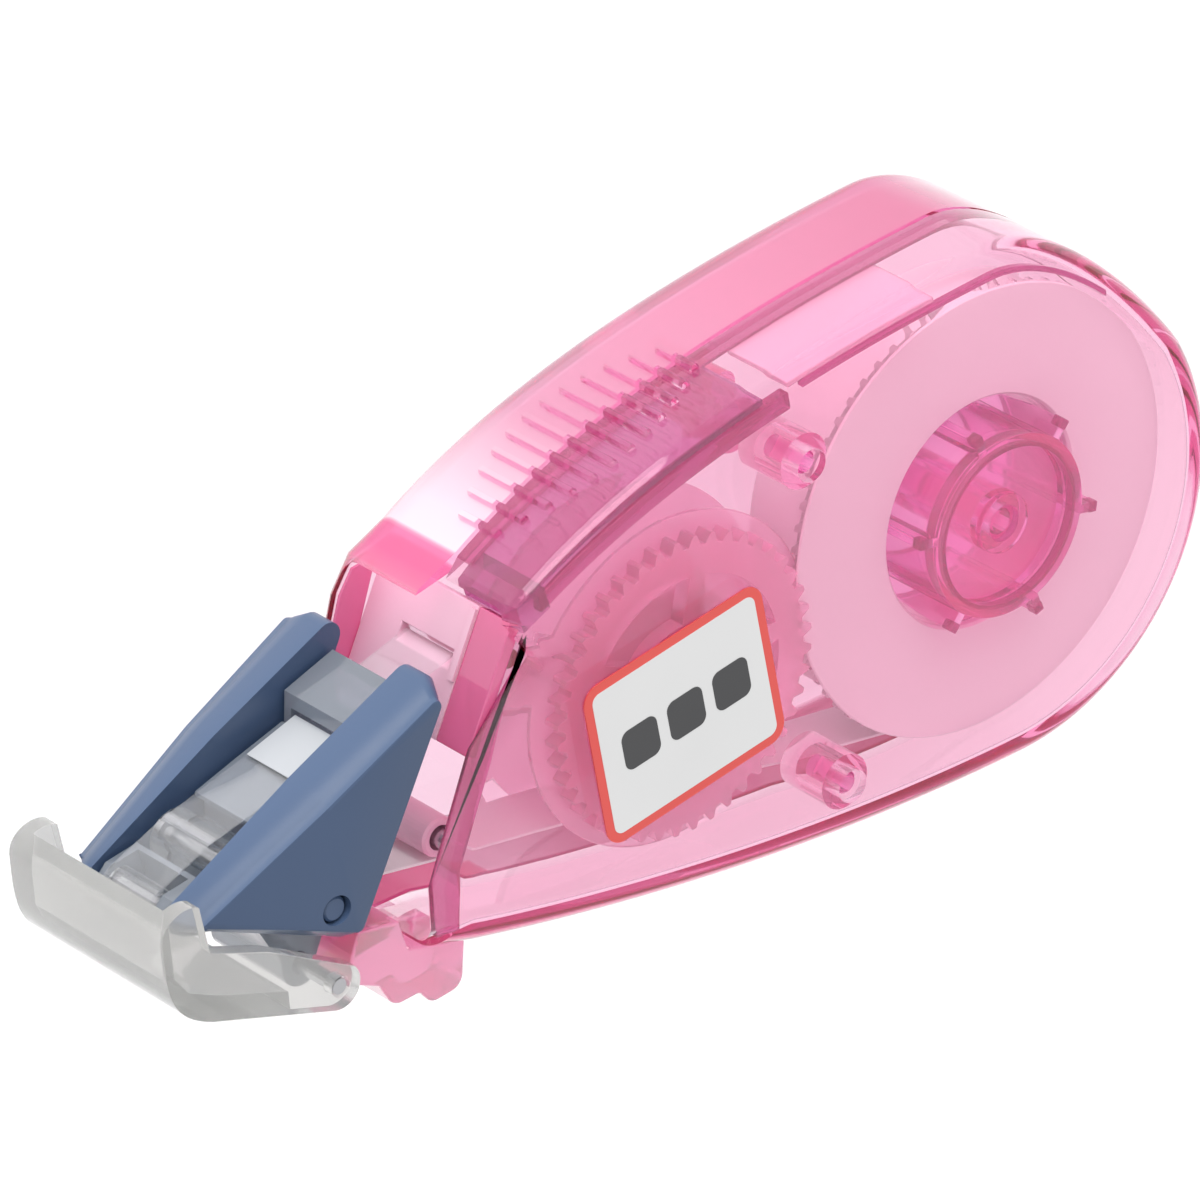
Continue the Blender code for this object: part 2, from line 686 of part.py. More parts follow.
def cheek(name, inner_z, outer_z):
    """A wedge plate whose outer face leans in towards the tip."""
    outward = 1 if outer_z > inner_z else -1
    bm = bmesh.new()
    inner, outer = [], []
    for x, y in cheek_outline():
        lean = CHEEK_TAPER * max(0.0, x - CHEEK_TAPER_START) / (CHEEK_TIP_X - CHEEK_TAPER_START)
        inner.append(bm.verts.new(Vector((x, y, inner_z)) * MM))
        outer.append(bm.verts.new(Vector((x, y, outer_z - outward * lean)) * MM))
    bm.faces.new(inner)
    bm.faces.new(outer)
    bmesh.ops.triangulate(bm, faces=bm.faces)
    for i in range(len(inner)):
        j = (i + 1) % len(inner)
        bm.faces.new((inner[i], inner[j], outer[j], outer[i]))
    plate = place(name, mesh_from(bm, name), BLUE)
    low, high = min(inner_z, outer_z) - PAST, max(inner_z, outer_z) + PAST
    hole = rod(f"{name}_hole", CHEEK_HOLE, low, high, None, CHEEK_PIN, helper=True)
    low, high = sorted((inner_z - outward * PAST, inner_z + outward * SOCKET_DEPTH))
    socket = rod(f"{name}_socket", ROLLER_PIN + ROLLER_CLEARANCE, low, high, None, PRESS_ROLLER, helper=True)
    return soften(cut(plate, hole, socket))


def nose_core():
    """The clear guide between the cheeks: a wedge under the tape, with a deck over it at the rear."""
    outline = [
        (43.2, -7.9), (46.9, -6.9), (47.2, -4.75), (51.0, -3.95), (53.3, -3.0), (53.4, -1.55),
        *arc(PRESS_ROLLER, PRESS_ROLLER_RADIUS + 0.35, 180.0, 0.0, 10),
        (58.3, -2.1), (60.6, -1.9), (61.4, -1.2), (61.3, -0.3), (60.5, 0.35),
        (55.2, 2.4), (53.9, 5.2), *arc(CAP_HINGE, 1.4, 10.0, 175.0, 6),
        (49.9, 3.9), (46.4, 4.3), (44.2, -0.5),
    ]
    core = prism("nose_core", outline, *CORE_Z, CLEAR)
    low, high = CORE_Z[0] + RAIL, CORE_Z[1] - 1.0
    deck_slot = prism("deck_slot", [
        (42.0, -7.0), (47.6, -5.9), (47.9, -4.9), (51.0, -4.1), (50.9, -3.9), (42.3, -4.9),
    ], low, high, helper=True)
    tip_slot = prism("tip_slot", [
        (59.0, -4.0), (63.0, -4.0), (63.0, 3.0), (58.4, 3.0), (58.4, -0.4),
    ], low, high, helper=True)
    return_slot = prism("return_slot", [
        (60.0, 0.0), (60.0, 4.0), (54.3, 3.4), (49.2, 5.4), (43.0, 6.0), (43.0, 4.1), (50.0, 2.9), (58.0, 0.5),
    ], low, high, helper=True)
    past_low, past_high = CORE_Z[0] - PAST, CORE_Z[1] + PAST
    cheek_bore = rod("core_cheek_bore", CHEEK_HOLE, past_low, past_high, None, CHEEK_PIN, helper=True)
    hinge_bore = rod("core_hinge_bore", HINGE_HOLE, past_low, past_high, None, CAP_HINGE, helper=True)
    tip_hole = ROLLER_PIN + TIP_PIN_FIT
    tip_bore = rod("core_tip_bore", tip_hole, past_low, past_high, None, TIP_ROLLER, steps=12, helper=True)
    return soften(cut(core, deck_slot, tip_slot, return_slot, cheek_bore, hinge_bore, tip_bore))


def roller(name, axis, radius, low, high, surface, bore):
    edge = radius - ROLLER_CHAMFER
    profile = [(bore, low), (edge, low), (radius, low + ROLLER_CHAMFER)]
    profile += [(radius, high - ROLLER_CHAMFER), (edge, high), (bore, high)]
    return turned(name, profile, surface, axis, steps=32)


def nose_pins():
    low, high = CORE_Z[0] + ROLLER_SIDE_GAP, CORE_Z[1] - ROLLER_SIDE_GAP
    rod("cheek_pin", CHEEK_PIN_RADIUS, *CHEEK_PIN_Z, BLUE, CHEEK_PIN, chamfer=PIN_CHAMFER)
    rod("press_roller_pin", ROLLER_PIN, *PRESS_PIN_Z, STEEL, PRESS_ROLLER, steps=16)
    rod("tip_roller_pin", ROLLER_PIN, low, high, STEEL, TIP_ROLLER, steps=16)


def rollers():
    bore = ROLLER_PIN + ROLLER_CLEARANCE
    low, high = CORE_Z[0] + ROLLER_SIDE_GAP, CORE_Z[1] - ROLLER_SIDE_GAP
    roller("press_roller", PRESS_ROLLER, PRESS_ROLLER_RADIUS, low, high, CLEAR, bore)
    roller("tip_roller", TIP_ROLLER, TIP_ROLLER_RADIUS, *TAPE_Z, CLEAR, bore)
    for name, axis in (("upper_guide", UPPER_GUIDE), ("lower_guide", LOWER_GUIDE)):
        roller(f"{name}_roller", axis, GUIDE_RADIUS, *GUIDE_ROLLER_Z, PALE_PINK, GUIDE_PIN + ROLLER_CLEARANCE)
        rod(f"{name}_pin", GUIDE_PIN, PIN_LOW, GUIDE_PIN_TOP, STEEL, axis, steps=16)


def bulkhead():
    """The wall behind the mouth that keeps dust off the coils, with a window for the used carrier."""
    plate = [(36.3, -9.9), (37.0, -10.4), (41.1, -3.3), (40.4, -2.9)]
    wall = prism("mouth_bulkhead", plate, *BULKHEAD_Z, PALE_PINK)
    opening = [(36.0, -8.9), (42.0, -7.7), (42.0, -5.4), (36.0, -6.6)]
    return cut(wall, prism("bulkhead_window", opening, *BULKHEAD_WINDOW_Z, helper=True))


# The cap and its hinge -----------------------------------------------------------------------------------


def cap_arm_outline():
    end = arc(CAP_HINGE, CAP_KNUCKLE, 70.0, 215.0, 8)
    return [(57.2, 1.4), (61.2, -0.45), (61.6, -3.7), *bezier((61.6, -3.7), (62.4, -4.3), (64.3, -4.0),
            (64.4, -2.6), 4), *bezier((64.4, -2.6), (64.5, 1.0), (64.4, 2.6), (61.5, 4.0), 6), *end]


def tip_cap():
    """A clear scoop: a front wall and a floor between two arms that reach back to the hinge."""
    low, high = CAP_Z
    cap = prism("tip_cap", cap_arm_outline(), low, high, CLEAR, CAP_HINGE)
    inner = [(63.3, -6.0), (63.3, 0.6), (62.4, 2.0), (60.2, 3.2), (55.6, 5.2), (55.6, 9.0), (48.0, 9.0), (48.0, -6.0)]
    bm = bmesh.new()
    add_prism(bm, inner, low + CAP_WALL, high - CAP_WALL, CAP_HINGE)
    hollow = place("cap_hollow", mesh_from(bm, "cap_hollow"), None, CAP_HINGE, helper=True)
    bore = rod("cap_bore", HINGE_HOLE, low - PAST, high + PAST, None, CAP_HINGE, helper=True)
    return soften(cut(cap, hollow, bore))


def hinge_bracket():
    """The lug under the mouth that the nose stands on, with two round knuckles."""
    outline = rounded((
        (41.8, 8.95, 0.3), (45.9, 7.75, 0.4), (46.3, 5.6, 0.3), (49.3, 5.0, 0.3), (49.9, 6.2, 0.3),
        (50.4, 8.0, 0.4), (48.2, 9.2, 0.5), (47.3, 11.0, 1.0), (45.4, 11.0, 0.5), (44.6, 12.1, 0.9),
        (42.3, 12.0, 1.0),
    ), steps=4)
    bracket = prism("cap_hinge_bracket", outline, *LUG_Z, PINK)
    beside = [(40.0, 8.6), (52.0, 8.6), (52.0, 14.0), (40.0, 14.0)]
    return soften(cut(bracket, prism("lug_cut", beside, LUG_Z[0] - PAST, LUG_SHELF_Z, helper=True)))


def label():
    """A round-cornered sticker on the near face, over the take-up spool."""
    corners = ((20.0, -6.0, 1.2), (33.6, -4.6, 1.2), (32.6, 6.4, 1.2), (18.9, 5.0, 1.2))
    low = THICKNESS + LABEL_LIFT
    return soften(prism("label", rounded(corners), low, low + LABEL_THICKNESS, LABEL))


def build():
    far_shell()
    near_shell()
    clips()
    axles()
    supply_hub()
    supply_gear()
    coil("supply_core", *SUPPLY_CORE, SUPPLY_AXIS, PALE_PINK)
    coil("supply_tape", SUPPLY_CORE[1] + COIL_GAP, SUPPLY_COIL_RADIUS, SUPPLY_AXIS, WHITE_TAPE)
    takeup_spool()
    takeup_gear()
    coil("takeup_tape", SPOOL_RADIUS + COIL_GAP, TAKEUP_COIL_RADIUS, TAKEUP_AXIS, CARRIER)
    band("fresh_tape", fresh_route(), WHITE_TAPE)
    band("return_tape", return_route(), CARRIER)
    nose_core()
    cheek("near_cheek", CHEEK_NEAR_Z[0], CHEEK_NEAR_Z[1])
    cheek("far_cheek", CHEEK_FAR_Z[1], CHEEK_FAR_Z[0])
    nose_pins()
    rollers()
    bulkhead()
    tip_cap()
    rod("cap_hinge_pin", CAP_HINGE_PIN, *CAP_PIN_Z, STEEL, CAP_HINGE, steps=16)
    hinge_bracket()
    label()


build()
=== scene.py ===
"""The looks of a see-through correction tape roller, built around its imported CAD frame.

Lengths below are in millimetres in the working frame: the supply axle stands at x = 0, y = 0, +X points to the
tip, -Y is the grip side and +Z is the thickness. spot() turns them into the row frame's metres.
"""

import math

import bmesh
import bpy
from mathutils import Matrix, Vector

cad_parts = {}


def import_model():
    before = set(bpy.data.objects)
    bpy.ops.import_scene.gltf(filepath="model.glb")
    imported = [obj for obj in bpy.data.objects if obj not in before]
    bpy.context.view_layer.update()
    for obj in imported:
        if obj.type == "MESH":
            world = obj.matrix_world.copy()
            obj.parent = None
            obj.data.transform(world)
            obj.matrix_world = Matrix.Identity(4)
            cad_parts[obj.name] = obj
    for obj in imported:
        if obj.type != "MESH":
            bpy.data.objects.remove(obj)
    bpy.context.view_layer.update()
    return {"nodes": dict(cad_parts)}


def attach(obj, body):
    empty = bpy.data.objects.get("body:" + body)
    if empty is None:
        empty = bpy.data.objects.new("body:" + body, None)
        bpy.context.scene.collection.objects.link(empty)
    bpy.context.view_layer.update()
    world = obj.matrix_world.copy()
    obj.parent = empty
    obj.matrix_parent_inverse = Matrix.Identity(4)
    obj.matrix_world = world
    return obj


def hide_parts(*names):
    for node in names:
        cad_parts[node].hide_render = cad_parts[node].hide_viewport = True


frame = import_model()

MM = 0.001
MIDDLE = (24.45, -1.6)
THICKNESS = 14.0
WALL = 1.0
ROOF = THICKNESS - WALL
FACE_ROUND = 1.8
CAVITY_ROUND = 1.0
PARTING_Z = 7.4
PARTING_HALF_GAP = 0.15
TAKEUP = (23.5, 1.0)
SUPPLY = (0.0, 0.0)
TAPE_LOW, TAPE_HIGH = 4.7, 8.9
GEAR_LOW = 9.55
AXLE_BORE = 1.15
CHEEK_HOLE = 0.95
HINGE_HOLE = 0.65


# Small tools ---------------------------------------------------------------------------------------------


def spot(x, y, z):
    return Vector((x - MIDDLE[0], y - MIDDLE[1], z)) * MM


def circle(centre, radius, steps):
    turns = [2 * math.pi * step / steps for step in range(steps)]
    return [(centre[0] + radius * math.cos(a), centre[1] + radius * math.sin(a)) for a in turns]


def arc(centre, radius, start, end, steps):
    angles = [math.radians(start + (end - start) * step / steps) for step in range(steps + 1)]
    return [(centre[0] + radius * math.cos(a), centre[1] + radius * math.sin(a)) for a in angles]


def bezier(start, pull_start, pull_end, end, steps):
    points = []
    for step in range(1, steps + 1):
        t = step / steps
        weights = ((1 - t) ** 3, 3 * t * (1 - t) ** 2, 3 * t * t * (1 - t), t**3)
        controls = (start, pull_start, pull_end, end)
        points.append(tuple(sum(w * c[k] for w, c in zip(weights, controls)) for k in (0, 1)))
    return points


def rounded(corners, steps=8):
    """A closed outline with round corners: each corner is (x, y, radius)."""
    points = []
    count = len(corners)
    for i, (x, y, radius) in enumerate(corners):
        if radius == 0:
            points.append((x, y))
            continue
        here = Vector((x, y))
        before = (Vector(corners[i - 1][:2]) - here).normalized()
        after = (Vector(corners[(i + 1) % count][:2]) - here).normalized()
        half = before.angle(after) / 2
        reach = radius / math.tan(half)
        middle = here + (before + after).normalized() * (radius / math.sin(half))
        first = here + before * reach - middle
        last = here + after * reach - middle
        sweep = first.angle_signed(last)
        for step in range(steps + 1):
            turn = -sweep * step / steps
            cos, sin = math.cos(turn), math.sin(turn)
            points.append((middle.x + first.x * cos - first.y * sin, middle.y + first.x * sin + first.y * cos))
    return points


def inset(outline, distance):
    """The outline moved inwards along its corners' bisectors; the outline runs anticlockwise."""
    moved = []
    count = len(outline)
    for i in range(count):
        here = Vector(outline[i])
        before = (here - Vector(outline[i - 1])).normalized()
        after = (Vector(outline[(i + 1) % count]) - here).normalized()
        inward = (Vector((-before.y, before.x)) + Vector((-after.y, after.x))).normalized()
        stretch = max(inward.dot(Vector((-after.y, after.x))), 0.5)
        moved.append(tuple(here + inward * (distance / stretch)))
    return moved


def piece(name, bm, surface=None):
    bmesh.ops.recalc_face_normals(bm, faces=bm.faces)
    mesh = bpy.data.meshes.new(name)
    bm.to_mesh(mesh)
    bm.free()
    made = bpy.data.objects.new(name, mesh)
    bpy.context.scene.collection.objects.link(made)
    if surface:
        mesh.materials.append(surface)
    return made


def loft_into(bm, rings):
    """Adds a closed solid through outlines of equal length, each given with its height."""
    rows = [[bm.verts.new(spot(x, y, z)) for x, y in outline] for outline, z in rings]
    bm.faces.new(rows[0])
    bm.faces.new(rows[-1])
    for low, high in zip(rows, rows[1:]):
        for i in range(len(low)):
            j = (i + 1) % len(low)
            bm.faces.new((low[i], low[j], high[j], high[i]))


def loft(name, rings, surface=None):
    bm = bmesh.new()
    loft_into(bm, rings)
    return piece(name, bm, surface)


def prism(name, outline, low, high, surface=None):
    return loft(name, [(outline, low), (outline, high)], surface)


def rod(name, centre, radius, low, high, surface=None, steps=40):
    return prism(name, circle(centre, radius, steps), low, high, surface)


def turned(name, centre, profile, surface, steps=96):
    """A turned ring: the profile's points are (radius, height), and none lies on the axis."""
    bm = bmesh.new()
    columns = []
    for step in range(steps):
        angle = 2 * math.pi * step / steps
        cos, sin = math.cos(angle), math.sin(angle)
        columns.append([bm.verts.new(spot(centre[0] + r * cos, centre[1] + r * sin, z)) for r, z in profile])
    for i, column in enumerate(columns):
        after = columns[(i + 1) % steps]
        for k in range(len(profile)):
            n = (k + 1) % len(profile)
            bm.faces.new((column[k], column[n], after[n], after[k]))
    return piece(name, bm, surface)


def combine(made, operation, *others):
    """Applies Booleans to the piece and removes their helpers."""
    for other in others:
        change = made.modifiers.new("shape", "BOOLEAN")
        change.operation = operation
        change.object = other
        change.solver = "EXACT"
    bake(made)
    for other in others:
        bpy.data.objects.remove(other)
    return made


def bake(made):
    graph = bpy.context.evaluated_depsgraph_get()
    mesh = bpy.data.meshes.new_from_object(made.evaluated_get(graph))
    made.modifiers.clear()
    made.data = mesh
    return made


def soft_edges(made, width, segments=3, degrees=32.0):
    """Rounds the sharp edges a little, by a width in millimetres, and shades the piece smooth."""
    weld = made.modifiers.new("weld", "WELD")
    weld.merge_threshold = 2e-6
    bevel = made.modifiers.new("edges", "BEVEL")
    bevel.width = width * MM
    bevel.segments = segments
    bevel.limit_method = "ANGLE"
    bevel.angle_limit = math.radians(degrees)
    bevel.harden_normals = True
    bevel.use_clamp_overlap = True
    made.data.shade_smooth()
    return made


def plain_smooth(made, degrees=32.0):
    made.data.shade_smooth()
    made.data.set_sharp_from_angle(angle=math.radians(degrees))
    return made


def fit(made, body, slot, *nodes):
    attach(made, body)
    if nodes:
        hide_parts(*nodes)
    return made


# Materials -----------------------------------------------------------------------------------------------


def new_material(name):
    made = bpy.data.materials.new(name)
    made.use_nodes = True
    nodes, links = made.node_tree.nodes, made.node_tree.links
    shader = nodes["Principled BSDF"]
    return made, nodes, links, shader


def roughness_noise(nodes, links, shader, low, high, scale, bump=0.0, bump_scale=None):
    """Uneven polish, and where asked the faint waviness of a moulded face."""
    place = nodes.new("ShaderNodeTexCoord")
    noise = nodes.new("ShaderNodeTexNoise")
    noise.inputs["Scale"].default_value = scale
    noise.inputs["Detail"].default_value = 4.0
    span = nodes.new("ShaderNodeMapRange")
    span.inputs["To Min"].default_value = low
    span.inputs["To Max"].default_value = high
    links.new(place.outputs["Object"], noise.inputs["Vector"])
    links.new(noise.outputs["Fac"], span.inputs["Value"])
    links.new(span.outputs["Result"], shader.inputs["Roughness"])
    if bump:
        waves = nodes.new("ShaderNodeTexNoise")
        waves.inputs["Scale"].default_value = bump_scale or scale
        waves.inputs["Detail"].default_value = 2.0
        relief = nodes.new("ShaderNodeBump")
        relief.inputs["Strength"].default_value = bump
        relief.inputs["Distance"].default_value = 0.0001
        links.new(place.outputs["Object"], waves.inputs["Vector"])
        links.new(waves.outputs["Fac"], relief.inputs["Height"])
        links.new(relief.outputs["Normal"], shader.inputs["Normal"])


def see_through(name, face_tint, per_mm, rough, milk=0.0, ior=1.25):
    """Clear plastic: it bends what is behind it, and the lamps shine through it on the parts inside.

    face_tint is what each surface lets through, per_mm what each millimetre of plastic lets through, and milk the
    share that its surface scatters.
    """
    made, nodes, links, shader = new_material(name)
    shader.inputs["Base Color"].default_value = (*face_tint, 1.0)
    shader.inputs["Transmission Weight"].default_value = 1.0 - milk
    shader.inputs["IOR"].default_value = ior
    shader.inputs["Coat Weight"].default_value = 1.0
    shader.inputs["Coat IOR"].default_value = 1.5
    shader.inputs["Coat Roughness"].default_value = 0.04
    roughness_noise(nodes, links, shader, rough * 0.6, rough * 1.6, 420.0)
    path = nodes.new("ShaderNodeLightPath")
    clear = nodes.new("ShaderNodeBsdfTransparent")
    clear.inputs["Color"].default_value = (*face_tint, 1.0)
    mix = nodes.new("ShaderNodeMixShader")
    out = nodes["Material Output"]
    links.new(path.outputs["Is Shadow Ray"], mix.inputs["Fac"])
    links.new(shader.outputs["BSDF"], mix.inputs[1])
    links.new(clear.outputs["BSDF"], mix.inputs[2])
    links.new(mix.outputs["Shader"], out.inputs["Surface"])
    taken = [-math.log(share) / MM for share in per_mm]
    density = 1.05 * max(taken)
    volume = nodes.new("ShaderNodeVolumeAbsorption")
    volume.inputs["Color"].default_value = (*[1.0 - t / density for t in taken], 1.0)
    volume.inputs["Density"].default_value = density
    links.new(volume.outputs["Volume"], out.inputs["Volume"])
    return made


def solid(name, colour, second, rough, scale=300.0, bump=0.08, bump_scale=2500.0, metallic=0.0):
    """An opaque plastic, paper or metal whose colour drifts a little between two tones."""
    made, nodes, links, shader = new_material(name)
    shader.inputs["Metallic"].default_value = metallic
    roughness_noise(nodes, links, shader, rough * 0.85, rough * 1.2, scale, bump, bump_scale)
    place = nodes.new("ShaderNodeTexCoord")
    noise = nodes.new("ShaderNodeTexNoise")
    noise.inputs["Scale"].default_value = scale * 0.4
    ramp = nodes.new("ShaderNodeValToRGB")
    ramp.color_ramp.elements[0].color = (*colour, 1.0)
    ramp.color_ramp.elements[1].color = (*second, 1.0)
    links.new(place.outputs["Object"], noise.inputs["Vector"])
    links.new(noise.outputs["Fac"], ramp.inputs["Fac"])
    links.new(ramp.outputs["Color"], shader.inputs["Base Color"])
    return made


PINK = see_through("pink_near_shell_plastic", (0.985, 0.875, 0.912), (0.985, 0.86, 0.925), 0.03, ior=1.18)
PINK_FAR = see_through("pink_far_shell_plastic", (0.955, 0.835, 0.885), (0.98, 0.86, 0.93), 0.03, ior=1.18)
# Deep plum, used for the hub's fin ends and as painted shade in thin strips along the casing's rim, its parting
# line, the mouth's near side and inside the hub's ring.
DEEP_PLUM_AND_SHADE = see_through("deep_plum_plastic_and_painted_shade", (0.66, 0.20, 0.42), (0.80, 0.40, 0.68), 0.08, milk=0.15, ior=1.15)
CLEAR_GEAR = see_through("pale_gear_plastic", (0.99, 0.94, 0.96), (0.99, 0.95, 0.97), 0.08, milk=0.1, ior=1.12)
# Hot pink for sheets that paint the shade on the mouth's side walls.
HOT_PINK_SHADE = see_through("hot_pink_painted_shade", (0.86, 0.22, 0.44), (0.9, 0.5, 0.7), 0.1, milk=0.65, ior=1.2)
PINK_INNER = see_through("pink_inner_plastic", (0.985, 0.86, 0.92), (0.97, 0.74, 0.86), 0.08, milk=0.3)
PLUM = see_through("plum_inner_plastic", (0.985, 0.74, 0.91), (0.97, 0.64, 0.87), 0.08, milk=0.1, ior=1.2)
# Plum for the inner wall at the front of the grip: partly its doubled wall, partly a darker painted shade.
GRIP_PLUM_AND_SHADE = see_through("plum_grip_plastic_and_painted_shade", (0.66, 0.30, 0.52), (0.86, 0.52, 0.76), 0.08, milk=0.1, ior=1.2)
CLEAR = see_through("clear_plastic", (0.985, 0.985, 0.985), (0.96, 0.965, 0.965), 0.04, ior=1.3)
FROST = see_through("frosted_plastic", (0.38, 0.42, 0.48), (0.93, 0.94, 0.95), 0.16, milk=0.5, ior=1.25)
CREAM = see_through("cream_clear_plastic", (0.78, 0.775, 0.765), (0.95, 0.952, 0.95), 0.10, milk=0.22, ior=1.22)
FILM = see_through("clear_carrier_film", (0.93, 0.93, 0.94), (0.9, 0.9, 0.9), 0.1, milk=0.06, ior=1.1)
PALE = solid("pale_pink_plastic", (0.84, 0.46, 0.60), (0.88, 0.53, 0.66), 0.35)
DISC = solid("white_disc_plastic", (0.93, 0.89, 0.90), (0.95, 0.91, 0.92), 0.40)
BLUE = solid("blue_plastic", (0.050, 0.085, 0.165), (0.058, 0.097, 0.185), 0.34, bump=0.05)
PATCH = solid("tape_patch", (0.60, 0.62, 0.65), (0.64, 0.66, 0.69), 0.5)
TAPE = solid("white_tape_film", (0.86, 0.86, 0.85), (0.90, 0.90, 0.89), 0.5)
STEEL = solid("drawn_steel", (0.55, 0.55, 0.57), (0.62, 0.62, 0.64), 0.25, metallic=1.0, bump=0.04)
SILVER = solid("label_silver", (0.74, 0.74, 0.74), (0.80, 0.80, 0.80), 0.42, bump=0.03)
CORAL = solid("label_coral", (0.76, 0.085, 0.075), (0.80, 0.10, 0.085), 0.42, bump=0.03)
INK = solid("label_grey_ink", (0.055, 0.055, 0.058), (0.07, 0.07, 0.073), 0.5, bump=0.03)


def painted_top_wall_sheen_and_shade():
    """Painted light on the casing's long top wall: its faces that point towards the grip side are painted plum as
    shade at the rear, pale and milky as a sheen towards the front, and hot pink in its rim at the mouth.
    """
    nodes, links = PINK_FAR.node_tree.nodes, PINK_FAR.node_tree.links
    shader = nodes["Principled BSDF"]
    shape = nodes.new("ShaderNodeNewGeometry")
    where = nodes.new("ShaderNodeSeparateXYZ")
    facing = nodes.new("ShaderNodeSeparateXYZ")
    links.new(shape.outputs["Position"], where.inputs["Vector"])
    links.new(shape.outputs["Normal"], facing.inputs["Vector"])
    upward = nodes.new("ShaderNodeMapRange")
    upward.inputs["From Min"].default_value = -0.55
    upward.inputs["From Max"].default_value = -0.85
    links.new(facing.outputs["Y"], upward.inputs["Value"])
    along = nodes.new("ShaderNodeMapRange")
    along.inputs["From Min"].default_value = spot(-12.0, 0, 0).x
    along.inputs["From Max"].default_value = spot(38.0, 0, 0).x
    links.new(where.outputs["X"], along.inputs["Value"])
    # Painted light: these ramps run from plum shade at the rear to a pale milky sheen at the front.
    share = nodes.new("ShaderNodeValToRGB")
    tone = nodes.new("ShaderNodeValToRGB")
    for ramp, stops in (
        (share, (
            (0.0, 0.60), (0.50, 0.50), (0.78, 0.58), (0.93, 0.78), (0.965, 0.78), (0.970, 0.62), (1.0, 0.62),
        )),
        (tone, (
            (0.0, (0.62, 0.12, 0.27)), (0.5, (0.79, 0.31, 0.47)), (0.78, (0.77, 0.39, 0.53)),
            (0.93, (0.92, 0.76, 0.83)), (0.965, (0.95, 0.80, 0.87)),
            (0.970, (0.84, 0.16, 0.36)), (1.0, (0.84, 0.16, 0.36)),
        )),
    ):
        while len(ramp.color_ramp.elements) < len(stops):
            ramp.color_ramp.elements.new(0.5)
        for element, (place, value) in zip(ramp.color_ramp.elements, stops):
            element.position = place
            element.color = (*value, 1.0) if isinstance(value, tuple) else (value, value, value, 1.0)
        links.new(along.outputs["Result"], ramp.inputs["Fac"])
    milk = nodes.new("ShaderNodeMath")
    milk.operation = "MULTIPLY"
    links.new(share.outputs["Color"], milk.inputs[0])
    links.new(upward.outputs["Result"], milk.inputs[1])
    clear = nodes.new("ShaderNodeMath")
    clear.operation = "SUBTRACT"
    clear.inputs[0].default_value = 1.0
    links.new(milk.outputs["Value"], clear.inputs[1])
    links.new(clear.outputs["Value"], shader.inputs["Transmission Weight"])
    blend = nodes.new("ShaderNodeMix")
    blend.data_type = "RGBA"
    blend.inputs[6].default_value = shader.inputs["Base Color"].default_value
    links.new(upward.outputs["Result"], blend.inputs[0])
    links.new(tone.outputs["Color"], blend.inputs[7])
    links.new(blend.outputs[2], shader.inputs["Base Color"])


painted_top_wall_sheen_and_shade()


def painted_light_on_cheek_tops():
    """Painted light: the cheeks' faces that point towards the grip side, where the key lamp stands, are painted a
    little lighter than their flats.
    """
    nodes, links = BLUE.node_tree.nodes, BLUE.node_tree.links
    shader = nodes["Principled BSDF"]
    flat = shader.inputs["Base Color"].links[0].from_socket
    shape = nodes.new("ShaderNodeNewGeometry")
    facing = nodes.new("ShaderNodeSeparateXYZ")
    span = nodes.new("ShaderNodeMapRange")
    span.inputs["From Min"].default_value = -0.25
    span.inputs["From Max"].default_value = -0.9
    blend = nodes.new("ShaderNodeMix")
    blend.data_type = "RGBA"
    # Painted highlight: the lighter blue of the lit facets.
    blend.inputs[7].default_value = (0.088, 0.142, 0.26, 1.0)
    links.new(shape.outputs["Normal"], facing.inputs["Vector"])
    links.new(facing.outputs["Y"], span.inputs["Value"])
    links.new(span.outputs["Result"], blend.inputs[0])
    links.new(flat, blend.inputs[6])
    links.new(blend.outputs[2], shader.inputs["Base Color"])


painted_light_on_cheek_tops()


# Casing outlines -----------------------------------------------------------------------------------------

REAR_RADIUS = 15.6
REAR_ARC = (87.0, 205.0)
GRIP_TOP_Y = -18.8
SHOULDER = (36.4, -12.5)
CHIN = (42.5, 8.4)
NEAR_MOUTH = ((38.0, -10.8), (36.6, -8.1), (41.4, -4.2), (45.2, 3.4), (45.4, 7.4))
FAR_MOUTH = ((39.2, -11.4), (40.9, -9.2), (42.6, -4.5), (45.6, 3.4), (45.4, 7.4))


def on_rear(degrees):
    a = math.radians(degrees)
    return (REAR_RADIUS * math.cos(a), REAR_RADIUS * math.sin(a))


def top_edge():
    blend = bezier(on_rear(REAR_ARC[1]), (-10.9, -12.0), (-5.0, GRIP_TOP_Y), (0.0, GRIP_TOP_Y), 20)
    return blend + bezier((0.0, GRIP_TOP_Y), (15.0, GRIP_TOP_Y), (27.5, -17.2), SHOULDER, 40)


def rear_edge():
    return arc((0.0, 0.0), REAR_RADIUS, REAR_ARC[0], REAR_ARC[1], 60)


def bottom_edge():
    return bezier(CHIN, (29.5, 12.2), (14.5, 15.0), on_rear(REAR_ARC[0]), 34)[:-1]


def casing_outline(mouth):
    return rear_edge() + top_edge() + list(mouth) + [CHIN] + bottom_edge()


def cavity_outline(mouth, wall):
    inner = inset(casing_outline(mouth), wall)
    first = len(rear_edge()) + len(top_edge())
    last = first + len(mouth) - 1
    for k in range(first, last + 1):
        x, y = inner[k]
        inner[k] = (x + 6.0, y)
    shoulder, chin = inner[first - 1], inner[last + 1]
    inner[first] = (inner[first][0], shoulder[1] + 1.2)
    inner[last] = (inner[last][0], chin[1] - 0.6)
    return inner


